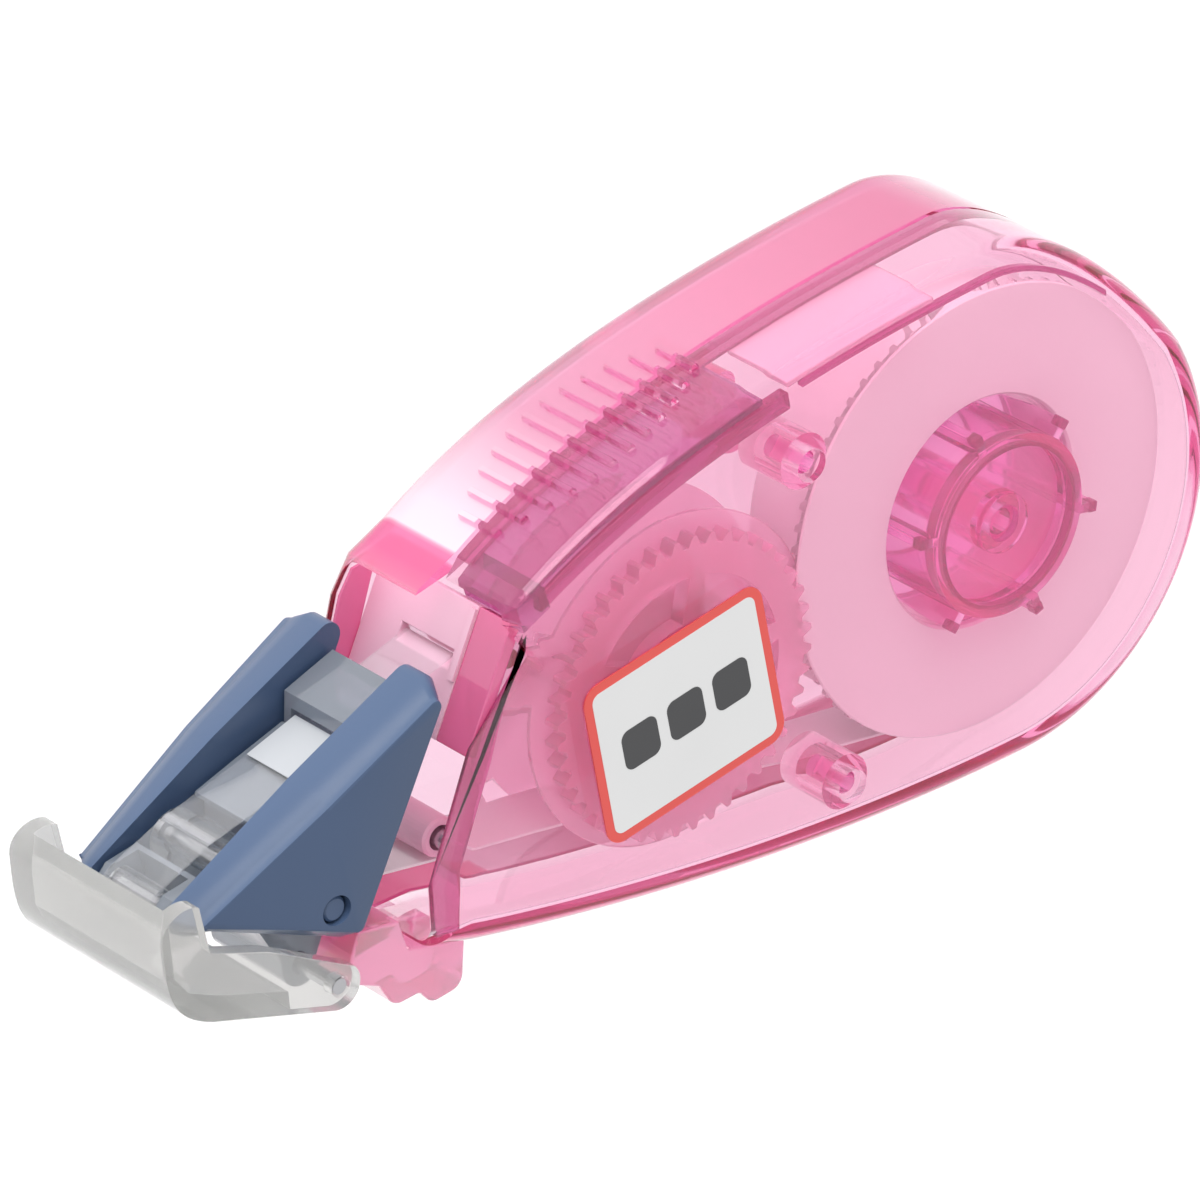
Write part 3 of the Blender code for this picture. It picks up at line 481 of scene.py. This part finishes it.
def rounding(outline, edge, face, radius, steps):
    """Rings that run from an open edge to a flat face and round over into it."""
    side = 1 if face > edge else -1
    rings = [(outline, edge)]
    for step in range(steps + 1):
        a = 0.5 * math.pi * step / steps
        z = face - side * radius * (1 - math.sin(a))
        rings.append((inset(outline, radius * (1 - math.cos(a))) if step else outline, z))
    return rings


# Grip ribs -----------------------------------------------------------------------------------------------

RIB_COUNT = 12
RIB_X = (19.2, 34.4)
RIB_SHORT = 1.6
RIB_BULGE = 2.3
RIB_HALF_WIDTH = 0.28


def rib_positions():
    wall = top_edge()
    middle, reach = 0.5 * (RIB_X[0] + RIB_X[1]), 0.5 * (RIB_X[1] - RIB_X[0])
    for i in range(RIB_COUNT):
        x = RIB_X[0] + (RIB_X[1] - RIB_X[0]) * i / (RIB_COUNT - 1)
        k = next(n for n in range(1, len(wall)) if wall[n][0] >= x)
        before, after = Vector(wall[k - 1]), Vector(wall[k])
        t = (x - before.x) / (after.x - before.x)
        bulge = 1 - ((x - middle) / reach) ** 2
        yield before.lerp(after, t), (after - before).normalized(), RIB_SHORT + RIB_BULGE * bulge


def ribs(name, low, high):
    bm = bmesh.new()
    for foot, along, half in rib_positions():
        outward = Vector((along.y, -along.x))
        corners = []
        for side, rise in ((-1, -0.4), (1, -0.4), (1, 0.25), (0.6, 0.45), (-0.6, 0.45), (-1, 0.25)):
            corners.append(tuple(foot + along * (RIB_HALF_WIDTH * side) + outward * rise))
        loft_into(bm, [(corners, max(low, PARTING_Z - half)), (corners, min(high, PARTING_Z + half))])
    return piece(name, bm)


# The casing ----------------------------------------------------------------------------------------------

UPPER_BOSS = (15.3, -11.5)
LOWER_BOSS = (14.2, 10.9)
LOCATING_PEG = (15.6, -13.9)
BOSS_RADIUS = 1.75
BOSS_HOLE = 1.05
BOSS_END = 9.3
BOSS_FLOOR = 0.8
POST_ROOT = 0.4


def near_casing():
    bottom = PARTING_Z + PARTING_HALF_GAP
    shell = loft("near_casing", rounding(casing_outline(NEAR_MOUTH), bottom, THICKNESS, FACE_ROUND, 9), PINK)
    inner = cavity_outline(NEAR_MOUTH, WALL)
    combine(shell, "DIFFERENCE", loft("hollow", rounding(inner, bottom - 1.0, ROOF, CAVITY_ROUND, 5)))
    places = (UPPER_BOSS, LOWER_BOSS)
    bosses = [rod("boss", at, BOSS_RADIUS, BOSS_END, ROOF + POST_ROOT) for at in places]
    combine(shell, "UNION", ribs("ribs", bottom, THICKNESS), *bosses)
    holes = [rod("hole", at, BOSS_HOLE, BOSS_END + BOSS_FLOOR, THICKNESS + 1.0) for at in places]
    combine(shell, "DIFFERENCE", *holes)
    soft_edges(shell, 0.12, segments=2)
    fit(shell, "root", "pink_casing", "near_shell")


def far_casing():
    top = PARTING_Z - PARTING_HALF_GAP
    shell = loft("far_casing", rounding(casing_outline(FAR_MOUTH), top, 0.0, FACE_ROUND, 9), PINK_FAR)
    inner = cavity_outline(FAR_MOUTH, WALL)
    combine(shell, "DIFFERENCE", loft("hollow", rounding(inner, top + 1.0, WALL, CAVITY_ROUND, 5)))
    root = WALL - POST_ROOT
    posts = [
        rod("post", UPPER_BOSS, BOSS_RADIUS, root, 6.9),
        rod("post", LOWER_BOSS, BOSS_RADIUS, root, 4.2),
        rod("post", LOCATING_PEG, 0.9, root, 7.0),
    ]
    combine(shell, "UNION", ribs("ribs", 0.0, top), *posts)
    soft_edges(shell, 0.12, segments=2)
    fit(shell, "root", "pink_casing", "far_shell")


def along_grip(first, last, near, far):
    """A strip's outline that follows the grip wall from x = first to x = last, between two depths below it."""
    wall = [p for p in top_edge() if first < p[0] < last]
    return [(x, y + near) for x, y in wall] + [(x, y + far) for x, y in wall[::-1]]


def grip_liner():
    """The inner walls behind the grip, the stop at their end, and dark plum strips in the rim and along the parting
    line that paint the shade there.
    """
    low, high = 7.75, 12.8
    # The front inner wall is darker plum: partly its doubled wall, partly painted shade.
    liner = prism("grip_liner", along_grip(17.0, 35.6, 1.35, 1.7), low, high, GRIP_PLUM_AND_SHADE)
    stop = prism("stop", [(34.6, -12.0), (36.6, -11.2), (36.2, -9.6), (34.4, -10.4)], low, high)
    combine(liner, "UNION", stop)
    rear = prism("grip_liner_rear", along_grip(4.0, 16.6, 1.35, 1.7), low, high, PINK_INNER)
    # Painted shade: the rim band, the parting lip and the rim line are dark plum strips that stand for the shade
    # along these edges.
    band = prism("rim_band", along_grip(15.6, 35.4, 1.9, 2.9), 12.1, 12.85, DEEP_PLUM_AND_SHADE)
    lip = prism("parting_lip", along_grip(-10.0, 36.0, 1.02, 1.28), 6.7, 8.1, DEEP_PLUM_AND_SHADE)
    edge = prism("rim_line", along_grip(-9.0, 15.6, 1.75, 2.1), 12.5, 12.9, DEEP_PLUM_AND_SHADE)
    for strip, width in ((liner, 0.1), (rear, 0.1), (band, 0.1), (lip, 0.05), (edge, 0.05)):
        fit(soft_edges(strip, width, segments=2), "root", "pink_casing")


def mouth_inside():
    """The pale wall behind the mouth, with a slot for the film, and the hot pink and deep plum sheets beside it that
    paint the shade on the mouth's side walls.
    """
    plate = [(36.3, -9.9), (37.0, -10.4), (41.1, -3.3), (40.4, -2.9)]
    wall = prism("mouth_wall", plate, 1.3, 9.9, PALE)
    slot = prism("slot", [(36.0, -8.35), (42.0, -7.0), (42.0, -6.15), (36.0, -7.5)], 4.5, 9.1)
    combine(wall, "DIFFERENCE", slot)
    soft_edges(wall, 0.1, segments=2)
    fit(wall, "root", "pale_pink", "mouth_bulkhead")
    # Painted shade: the upper part of the mouth wall is hot pink.
    side = prism("mouth_wall_side", plate, 9.92, 12.7, HOT_PINK_SHADE)
    fit(soft_edges(side, 0.1, segments=2), "root", "pale_pink")
    seam = prism("mouth_seam", [(37.15, -10.2), (37.3, -10.28), (39.5, -6.5), (39.35, -6.4)], 9.5, 9.9, PALE)
    fit(seam, "root", "pale_pink")
    # Painted shade: a hot pink sheet on the far side wall of the mouth.
    far = prism("mouth_far_side", [
        (37.4, -10.4), (39.2, -10.3), (40.3, -8.9), (42.0, -4.5), (44.6, 2.6), (42.3, 1.0),
    ], 1.03, 1.25, HOT_PINK_SHADE)
    fit(soft_edges(far, 0.05, segments=2), "root", "pink_casing")
    # Painted shade: a deep plum strip on the near side of the mouth.
    near = prism("mouth_near_side", [
        (36.3, -9.3), (36.4, -8.4), (40.9, -4.0), (44.6, 3.2), (44.7, 7.0), (43.2, 7.0), (42.7, 3.4), (39.4, -3.2),
    ], 12.75, 12.97, DEEP_PLUM_AND_SHADE)
    fit(soft_edges(near, 0.05, segments=2), "root", "pink_casing")


# The gear train ------------------------------------------------------------------------------------------

SUPPLY_TEETH = 66
TAKEUP_TEETH = 44
MODULE = 2 * math.hypot(*TAKEUP) / (SUPPLY_TEETH + TAKEUP_TEETH)
MESH_ANGLE = math.atan2(TAKEUP[1], TAKEUP[0])


def gear_outline(centre, teeth, phase):
    """A spur gear's outline, with a tooth at the phase angle."""
    pitch = 0.5 * MODULE * teeth
    root, tip = pitch - 0.85 * MODULE, pitch + 0.65 * MODULE
    step = 2 * math.pi / teeth
    points = []
    for tooth in range(teeth):
        middle = phase + tooth * step
        flank = 0.5 * (root + tip)
        for radius, share in ((root, -0.36), (flank, -0.24), (tip, -0.12), (tip, 0.12), (flank, 0.24), (root, 0.36)):
            a = middle + share * step
            points.append((centre[0] + radius * math.cos(a), centre[1] + radius * math.sin(a)))
    return points


def supply_side():
    outline = gear_outline(SUPPLY, SUPPLY_TEETH, MESH_ANGLE)
    teeth = prism("supply_gear_teeth", outline, GEAR_LOW, GEAR_LOW + 0.4, CLEAR_GEAR)
    combine(teeth, "DIFFERENCE", rod("bore", SUPPLY, 12.9, 9.0, 11.0, steps=96))
    plain_smooth(teeth)
    fit(teeth, "supply", "pink_gears")
    disc = turned("supply_disc", SUPPLY, [
        (7.3, 9.62), (14.25, 9.97), (14.33, 10.05), (14.33, 10.12), (14.25, 10.2), (7.45, 10.2), (7.3, 10.05),
    ], DISC, steps=160)
    plain_smooth(disc)
    fit(disc, "supply", "pale_pink", "supply_gear")
    core = turned("coil_core", SUPPLY, [
        (7.35, TAPE_LOW), (8.0, TAPE_LOW), (8.0, TAPE_HIGH), (7.7, 9.3), (7.35, 9.5),
    ], PLUM, steps=120)
    plain_smooth(core)
    fit(core, "supply", "pale_pink", "supply_core")
    coil = turned("supply_coil", SUPPLY, coil_profile(8.1, 13.4), TAPE, steps=140)
    plain_smooth(coil, 60.0)
    fit(coil, "supply", "white_tape", "supply_tape")
    hub()


def coil_profile(inner, outer):
    """A wound coil: its ends show the turns as fine steps."""
    turns = 18
    radii = [max(inner + (outer - inner) * k / turns, inner + 0.01) for k in range(turns + 1)]
    far_end = [(r, TAPE_LOW + 0.04 * (k % 2)) for k, r in enumerate(radii)]
    near_end = [(r - 0.005, TAPE_HIGH - 0.05 * (k % 2)) for k, r in enumerate(radii)]
    return [(inner, TAPE_LOW)] + far_end + [(outer, TAPE_HIGH)] + near_end[::-1]


def fin(turn, near, far, half):
    """The corners of a bar that points away from the supply axle, between two radii."""
    out = Vector((math.cos(turn), math.sin(turn)))
    side = Vector((-out.y, out.x)) * half
    return [tuple(out * near - side), tuple(out * far - side), tuple(out * far + side), tuple(out * near + side)]


def hub():
    ring_in, ring_out, sleeve = 5.05, 5.8, 1.9
    low, top = 4.6, 12.7
    drum = turned("hub_drum", SUPPLY, [
        (AXLE_BORE, low), (sleeve, low), (sleeve, 11.2), (ring_in, 11.2), (ring_in, 3.9), (ring_out, 3.9),
        (ring_out, top), (ring_in, top), (ring_in, 11.9), (sleeve, 11.9), (sleeve, 12.3), (AXLE_BORE, 12.3),
    ], PLUM, steps=120)
    turns = [math.radians(45.6 + 60.0 * i) for i in range(6)]
    bm = bmesh.new()
    for turn in turns:
        foot, bar = fin(turn, ring_out - 0.3, 6.4, 0.3), fin(turn, ring_out - 0.3, 7.0, 0.3)
        loft_into(bm, [(foot, low), (bar, 10.0), (bar, top)])
    combine(drum, "UNION", piece("fins", bm))
    soft_edges(drum, 0.1, segments=2)
    fit(drum, "supply", "pink_gears", "supply_hub")
    bm = bmesh.new()
    for turn in turns:
        block = fin(turn, 6.45, 7.08, 0.34)
        loft_into(bm, [(block, 12.0), (block, 12.75)])
    blocks = piece("hub_fin_ends", bm, DEEP_PLUM_AND_SHADE)
    fit(soft_edges(blocks, 0.08, segments=2), "supply", "pink_gears")
    # Painted shade: a deep plum band on the inner side of the drum's ring.
    rim = turned("hub_rim", SUPPLY, [(5.0, 12.15), (5.25, 12.15), (5.25, 12.72), (5.0, 12.72)], DEEP_PLUM_AND_SHADE, steps=96)
    fit(plain_smooth(rim), "supply", "pink_gears")


def takeup_side():
    phase = MESH_ANGLE + math.pi + math.pi / TAKEUP_TEETH
    gear = prism("takeup_gear_ring", gear_outline(TAKEUP, TAKEUP_TEETH, phase), GEAR_LOW, 10.7, PINK_INNER)
    cutters = [rod("bore", TAKEUP, 2.6, 9.0, 12.0)]
    for i in range(5):
        middle = 5.0 + 72.0 * i
        outer = arc(TAKEUP, 7.1, middle - 31.0, middle + 31.0, 24)
        inner = arc(TAKEUP, 4.2, middle + 25.0, middle - 25.0, 14)
        cutters.append(prism("window", outer + inner, 9.0, 12.0))
    combine(gear, "DIFFERENCE", *cutters)
    soft_edges(gear, 0.06, segments=2)
    fit(gear, "takeup", "pink_gears", "takeup_gear")
    flange, drum, neck = 10.55, 3.4, 2.4
    spool = turned("takeup_drum", TAKEUP, [
        (AXLE_BORE, 4.1), (flange, 4.1), (flange, 4.5), (drum, 4.5), (drum, 9.05), (flange - 0.05, 9.05),
        (flange, 9.1), (flange, 9.3), (flange - 0.05, 9.35), (neck, 9.35), (neck, 11.3), (AXLE_BORE, 11.3),
    ], PINK_INNER, steps=140)
    plain_smooth(spool)
    fit(spool, "takeup", "pink_gears", "takeup_spool")
    wound = [(3.5, TAPE_LOW), (5.6, TAPE_LOW), (5.6, TAPE_HIGH), (3.5, TAPE_HIGH)]
    coil = turned("takeup_coil", TAKEUP, wound, TAPE, steps=100)
    plain_smooth(coil)
    fit(coil, "takeup", "used_tape", "takeup_tape")


# The nose ------------------------------------------------------------------------------------------------

CHEEK = ((41.2, -10.4, 0.9), (52.0, -6.1, 12.0), (61.9, -1.6, 0.3), (61.3, -0.7, 0.3), (49.9, 4.9, 0.9))
CHEEK_LEAN = 1.3
CHEEK_LEAN_START = 44.0
CHEEK_LEAN_LENGTH = 17.9
CHEEK_PIN = (51.8, 1.5)
PRESS_ROLLER = (55.9, -1.55)
TIP_ROLLER = (60.3, -0.75)
CAP_HINGE = (52.5, 6.1)


def cheek(name, inner_z, outer_z, node):
    """A wedge plate with a stepped bevel along its outer face, leaning in towards the tip."""
    outward = 1 if outer_z > inner_z else -1
    outline = rounded(CHEEK)

    def level(shift, depth):
        corners = inset([(x, y) for x, y, _ in CHEEK], shift)
        ring = rounded([(*at, max(corner[2] - 0.5 * shift, 0.15)) for at, corner in zip(corners, CHEEK)])
        points = []
        for x, y in ring:
            lean = CHEEK_LEAN * (max(0.0, x - CHEEK_LEAN_START) / CHEEK_LEAN_LENGTH) ** 1.8
            points.append((x, y, outer_z - outward * (lean + depth)))
        return points

    rings = [[(x, y, inner_z) for x, y in outline]]
    rings += [level(*at) for at in ((0.0, 1.7), (0.62, 0.62), (0.74, 0.5), (0.9, 0.06), (1.05, 0.0))]
    bm = bmesh.new()
    rows = [[bm.verts.new(spot(*p)) for p in ring] for ring in rings]
    bm.faces.new(rows[0])
    bm.faces.new(rows[-1])
    for low, high in zip(rows, rows[1:]):
        for i in range(len(low)):
            j = (i + 1) % len(low)
            bm.faces.new((low[i], low[j], high[j], high[i]))
    bmesh.ops.triangulate(bm, faces=[f for f in bm.faces if len(f.verts) > 4])
    plate = piece(name, bm, BLUE)
    low, high = min(inner_z, outer_z) - 1.0, max(inner_z, outer_z) + 1.0
    combine(plate, "DIFFERENCE", rod("hole", CHEEK_PIN, CHEEK_HOLE, low, high))
    soft_edges(plate, 0.08, segments=2, degrees=40.0)
    fit(plate, "root", "blue_cheeks", node)


def nose():
    cheek("near_cheek_plate", 10.3, 13.7, "near_cheek")
    cheek("far_cheek_plate", 3.7, 0.3, "far_cheek")
    core()
    press = turned("press_drum", PRESS_ROLLER, [
        (0.65, 4.05), (1.55, 4.05), (1.7, 4.2), (1.7, 9.8), (1.55, 9.95), (0.65, 9.95),
    ], CLEAR, steps=72)
    plain_smooth(press)
    fit(press, "press_roller", "clear", "press_roller")
    tip = turned("tip_drum", TIP_ROLLER, [
        (0.65, 4.7), (0.9, 4.7), (1.0, 4.8), (1.0, 8.8), (0.9, 8.9), (0.65, 8.9),
    ], CLEAR, steps=60)
    plain_smooth(tip)
    fit(tip, "tip_roller", "clear", "tip_roller")


def core():
    outline = [
        (43.2, -7.9), (46.9, -6.9), (47.2, -4.75), (51.0, -3.95), (53.3, -3.0), (53.4, -1.55),
        *arc(PRESS_ROLLER, 2.05, 180.0, 0.0, 24),
        (58.3, -2.1), (60.6, -1.9), (61.4, -1.2), (61.3, -0.3), (60.5, 0.35),
        (55.2, 2.4), (53.9, 5.2), *arc(CAP_HINGE, 1.4, 10.0, 175.0, 16),
        (49.9, 3.9), (46.4, 4.3), (44.2, -0.5),
    ]
    body = prism("nose_guide", outline, 3.95, 10.05, FROST)
    slots = (
        [(42.0, -7.0), (47.6, -5.9), (47.9, -4.9), (51.0, -4.1), (50.9, -3.9), (42.3, -4.9)],
        [(59.0, -4.0), (63.0, -4.0), (63.0, 3.0), (58.4, 3.0), (58.4, -0.4)],
        [(60.0, 0.0), (60.0, 4.0), (54.3, 3.4), (49.2, 5.4), (43.0, 6.0), (43.0, 4.1), (50.0, 2.9), (58.0, 0.5)],
    )
    bores = ((CHEEK_PIN, CHEEK_HOLE), (CAP_HINGE, HINGE_HOLE), (TIP_ROLLER, 0.57))
    cutters = [prism("slot", outline, TAPE_LOW - 0.15, TAPE_HIGH + 0.15) for outline in slots]
    cutters += [rod("bore", at, radius, 2.0, 12.0) for at, radius in bores]
    combine(body, "DIFFERENCE", *cutters)
    soft_edges(body, 0.08, segments=2)
    fit(body, "root", "clear", "nose_core")
    skin = prism("nose_skin", [
        (47.3, -5.05), (50.95, -4.2), (53.95, -3.45), (53.95, -3.1), (50.9, -3.85), (47.3, -4.7),
    ], 3.98, 10.02, FROST)
    fit(soft_edges(skin, 0.05, segments=2), "root", "clear")


# The cap, the lug and the label --------------------------------------------------------------------------


def cap():
    """A clear scoop: a front wall and a floor between two arms that reach back to the hinge."""
    outline = [
        (57.2, 1.4), (61.2, -0.45), (61.6, -3.7),
        *bezier((61.6, -3.7), (62.4, -4.3), (64.3, -4.0), (64.4, -2.6), 12),
        *bezier((64.4, -2.6), (64.5, 1.0), (64.4, 2.6), (61.5, 4.0), 16),
        *arc(CAP_HINGE, 1.45, 70.0, 215.0, 20),
    ]
    scoop = prism("cap_scoop", outline, 0.1, 13.9, CREAM)
    inner = [
        (63.3, -6.0), (63.3, 0.6), (62.4, 2.0), (60.2, 3.2), (55.6, 5.2), (55.6, 9.0), (48.0, 9.0), (48.0, -6.0),
    ]
    hollow, bore = prism("hollow", inner, 1.2, 12.8), rod("bore", CAP_HINGE, HINGE_HOLE, -1.0, 15.0)
    combine(scoop, "DIFFERENCE", hollow, bore)
    soft_edges(scoop, 0.35, segments=4)
    fit(scoop, "cap", "clear", "tip_cap")


def lug():
    """The stepped foot under the mouth that the nose stands on."""
    outline = rounded((
        (41.8, 8.95, 0.3), (45.9, 7.75, 0.4), (46.3, 5.6, 0.3), (49.3, 5.0, 0.3), (49.9, 6.2, 0.3),
        (50.4, 8.0, 0.4), (48.2, 9.2, 0.5), (47.3, 11.0, 1.0), (45.4, 11.0, 0.5), (44.6, 12.1, 0.9),
        (42.3, 12.0, 1.0),
    ), steps=6)
    made = prism("mouth_lug", outline, 2.6, 11.8, PINK_INNER)
    step = prism("step", [(40.0, 8.6), (52.0, 8.6), (52.0, 14.0), (40.0, 14.0)], 1.0, 7.5)
    combine(made, "DIFFERENCE", step)
    soft_edges(made, 0.2, segments=3)
    fit(made, "root", "pink_casing", "cap_hinge_bracket")


def label():
    """A light panel in a coral border, with three dark squares in a row."""
    corners = ((20.0, -6.0), (33.6, -4.6), (32.6, 6.4), (18.9, 5.0))
    edge = rounded([(x, y, 1.2) for x, y in corners], steps=10)
    border = prism("label_border", edge, 14.03, 14.13, CORAL)
    fit(plain_smooth(border), "root", "label_paper", "label")
    panel = prism("label_panel", inset(edge, 0.6), 14.13, 14.16, SILVER)
    fit(plain_smooth(panel), "root", "label_paper")
    across = (Vector(corners[1]) - Vector(corners[0])).normalized()
    down = (Vector(corners[3]) - Vector(corners[0])).normalized()
    start = Vector(corners[0])

    def on_label(u, v):
        return tuple(start + across * u + down * v)

    for name, first in (("left", 1.9), ("middle", 5.4), ("right", 8.9)):
        last = first + 2.7
        outline = rounded([(*on_label(*uv), 0.6) for uv in ((first, 4.1), (last, 4.1), (last, 6.8), (first, 6.8))])
        square = prism(f"label_square_{name}", outline, 14.16, 14.18, INK)
        fit(plain_smooth(square), "root", "label_paper")


# Carried-over CAD nodes ----------------------------------------------------------------------------------


def dress(node, surface):
    slots = frame["nodes"][node].data.materials
    slots.clear()
    slots.append(surface)


def dress_nodes():
    dress("cheek_pin", BLUE)
    for node in ("upper_guide_pin", "lower_guide_pin", "press_roller_pin", "tip_roller_pin", "cap_hinge_pin"):
        dress(node, STEEL)
    for node in ("upper_clip_pin", "lower_clip_pin", "supply_axle", "takeup_axle"):
        dress(node, PLUM)
    for node in ("upper_guide_roller", "lower_guide_roller"):
        dress(node, PALE)
    dress("fresh_tape", TAPE)
    dress("return_tape", FILM)


def leftover_patch():
    """A patch of white tape that was left on the clear carrier when the roller was last lifted."""
    route = [(46.95, -5.44), (47.3, -5.35), (50.6, -4.55)]
    low = [(x - 0.03, y - 0.14) for x, y in route]
    high = [(x - 0.02, y - 0.10) for x, y in route]
    patch = prism("leftover_patch", low + high[::-1], 4.75, 8.85, PATCH)
    fit(patch, "root", "white_tape")


# Stage ---------------------------------------------------------------------------------------------------


def stage():
    """White paper that glows evenly, so that it stays white where tinted light falls on it."""
    bm = bmesh.new()
    for x, y in ((-2, -2), (2, -2), (2, 2), (-2, 2)):
        bm.verts.new((x, y, -0.012))
    bm.faces.new(bm.verts)
    made, nodes, links, shader = new_material("white_paper_floor")
    shader.inputs["Base Color"].default_value = (0.30, 0.30, 0.30, 1.0)
    shader.inputs["Roughness"].default_value = 0.9
    shader.inputs["Specular IOR Level"].default_value = 0.0
    shader.inputs["Emission Color"].default_value = (1.0, 1.0, 1.0, 1.0)
    shader.inputs["Emission Strength"].default_value = 0.85
    floor = piece("floor", bm, made)
    if floor.data.polygons[0].normal.z < 0:
        floor.data.flip_normals()


def world():
    """Soft white light from all around, a little dimmer from below."""
    made = bpy.data.worlds.new("studio")
    bpy.context.scene.world = made
    made.use_nodes = True
    nodes, links = made.node_tree.nodes, made.node_tree.links
    back = nodes["Background"]
    place = nodes.new("ShaderNodeTexCoord")
    split = nodes.new("ShaderNodeSeparateXYZ")
    ramp = nodes.new("ShaderNodeValToRGB")
    ramp.color_ramp.elements[0].position = 0.0
    ramp.color_ramp.elements[0].color = (0.85, 0.85, 0.86, 1.0)
    ramp.color_ramp.elements[1].position = 0.75
    ramp.color_ramp.elements[1].color = (1.0, 1.0, 1.0, 1.0)
    links.new(place.outputs["Generated"], split.inputs["Vector"])
    links.new(split.outputs["Z"], ramp.inputs["Fac"])
    links.new(ramp.outputs["Color"], back.inputs["Color"])
    back.inputs["Strength"].default_value = 0.83


def lamp(name, direction, distance, size, power):
    """A soft box that hangs in the given direction from the middle of the roller and faces it."""
    data = bpy.data.lights.new(name, "AREA")
    data.shape = "RECTANGLE"
    data.size, data.size_y = size
    data.energy = power
    made = bpy.data.objects.new(name, data)
    bpy.context.scene.collection.objects.link(made)
    away = Vector(direction).normalized()
    made.location = away * distance
    made.rotation_mode = "QUATERNION"
    made.rotation_quaternion = away.to_track_quat("Z", "Y")


CAMERA_AIM = Vector((-0.001754, 0.000468, 0.002684))
CAMERA_DISTANCE = 0.68545


def camera():
    """A long lens that looks at the near face from above the grip side and the tip."""
    right = Vector((-0.7553, 0.0792, 0.6505))
    up = Vector((-0.3942, -0.8480, -0.3544))
    toward = Vector((0.5236, -0.5241, 0.6717))
    data = bpy.data.cameras.new("camera")
    data.sensor_width = 36.0
    data.lens = 354.1
    data.clip_start, data.clip_end = 0.05, 10.0
    made = bpy.data.objects.new("camera", data)
    bpy.context.scene.collection.objects.link(made)
    turn = Matrix((right, up, toward)).transposed().to_4x4()
    made.matrix_world = Matrix.Translation(CAMERA_AIM + toward * CAMERA_DISTANCE) @ turn
    bpy.context.scene.camera = made


def light_paths():
    """Enough bounces for light to cross every wall of the casing."""
    cycles = bpy.context.scene.cycles
    cycles.max_bounces = 32
    cycles.transmission_bounces = 32
    cycles.glossy_bounces = 24
    cycles.diffuse_bounces = 8
    cycles.transparent_max_bounces = 48
    bpy.context.scene.view_settings.view_transform = "Standard"


near_casing()
far_casing()
grip_liner()
mouth_inside()
supply_side()
takeup_side()
nose()
cap()
lug()
label()
leftover_patch()
dress_nodes()
stage()
world()
lamp("key", (0.15, -0.95, 0.40), 0.7, (0.5, 0.4), 2.2)
lamp("fill", (0.9, 0.2, 0.8), 0.8, (0.5, 0.5), 0.3)
camera()
light_paths()
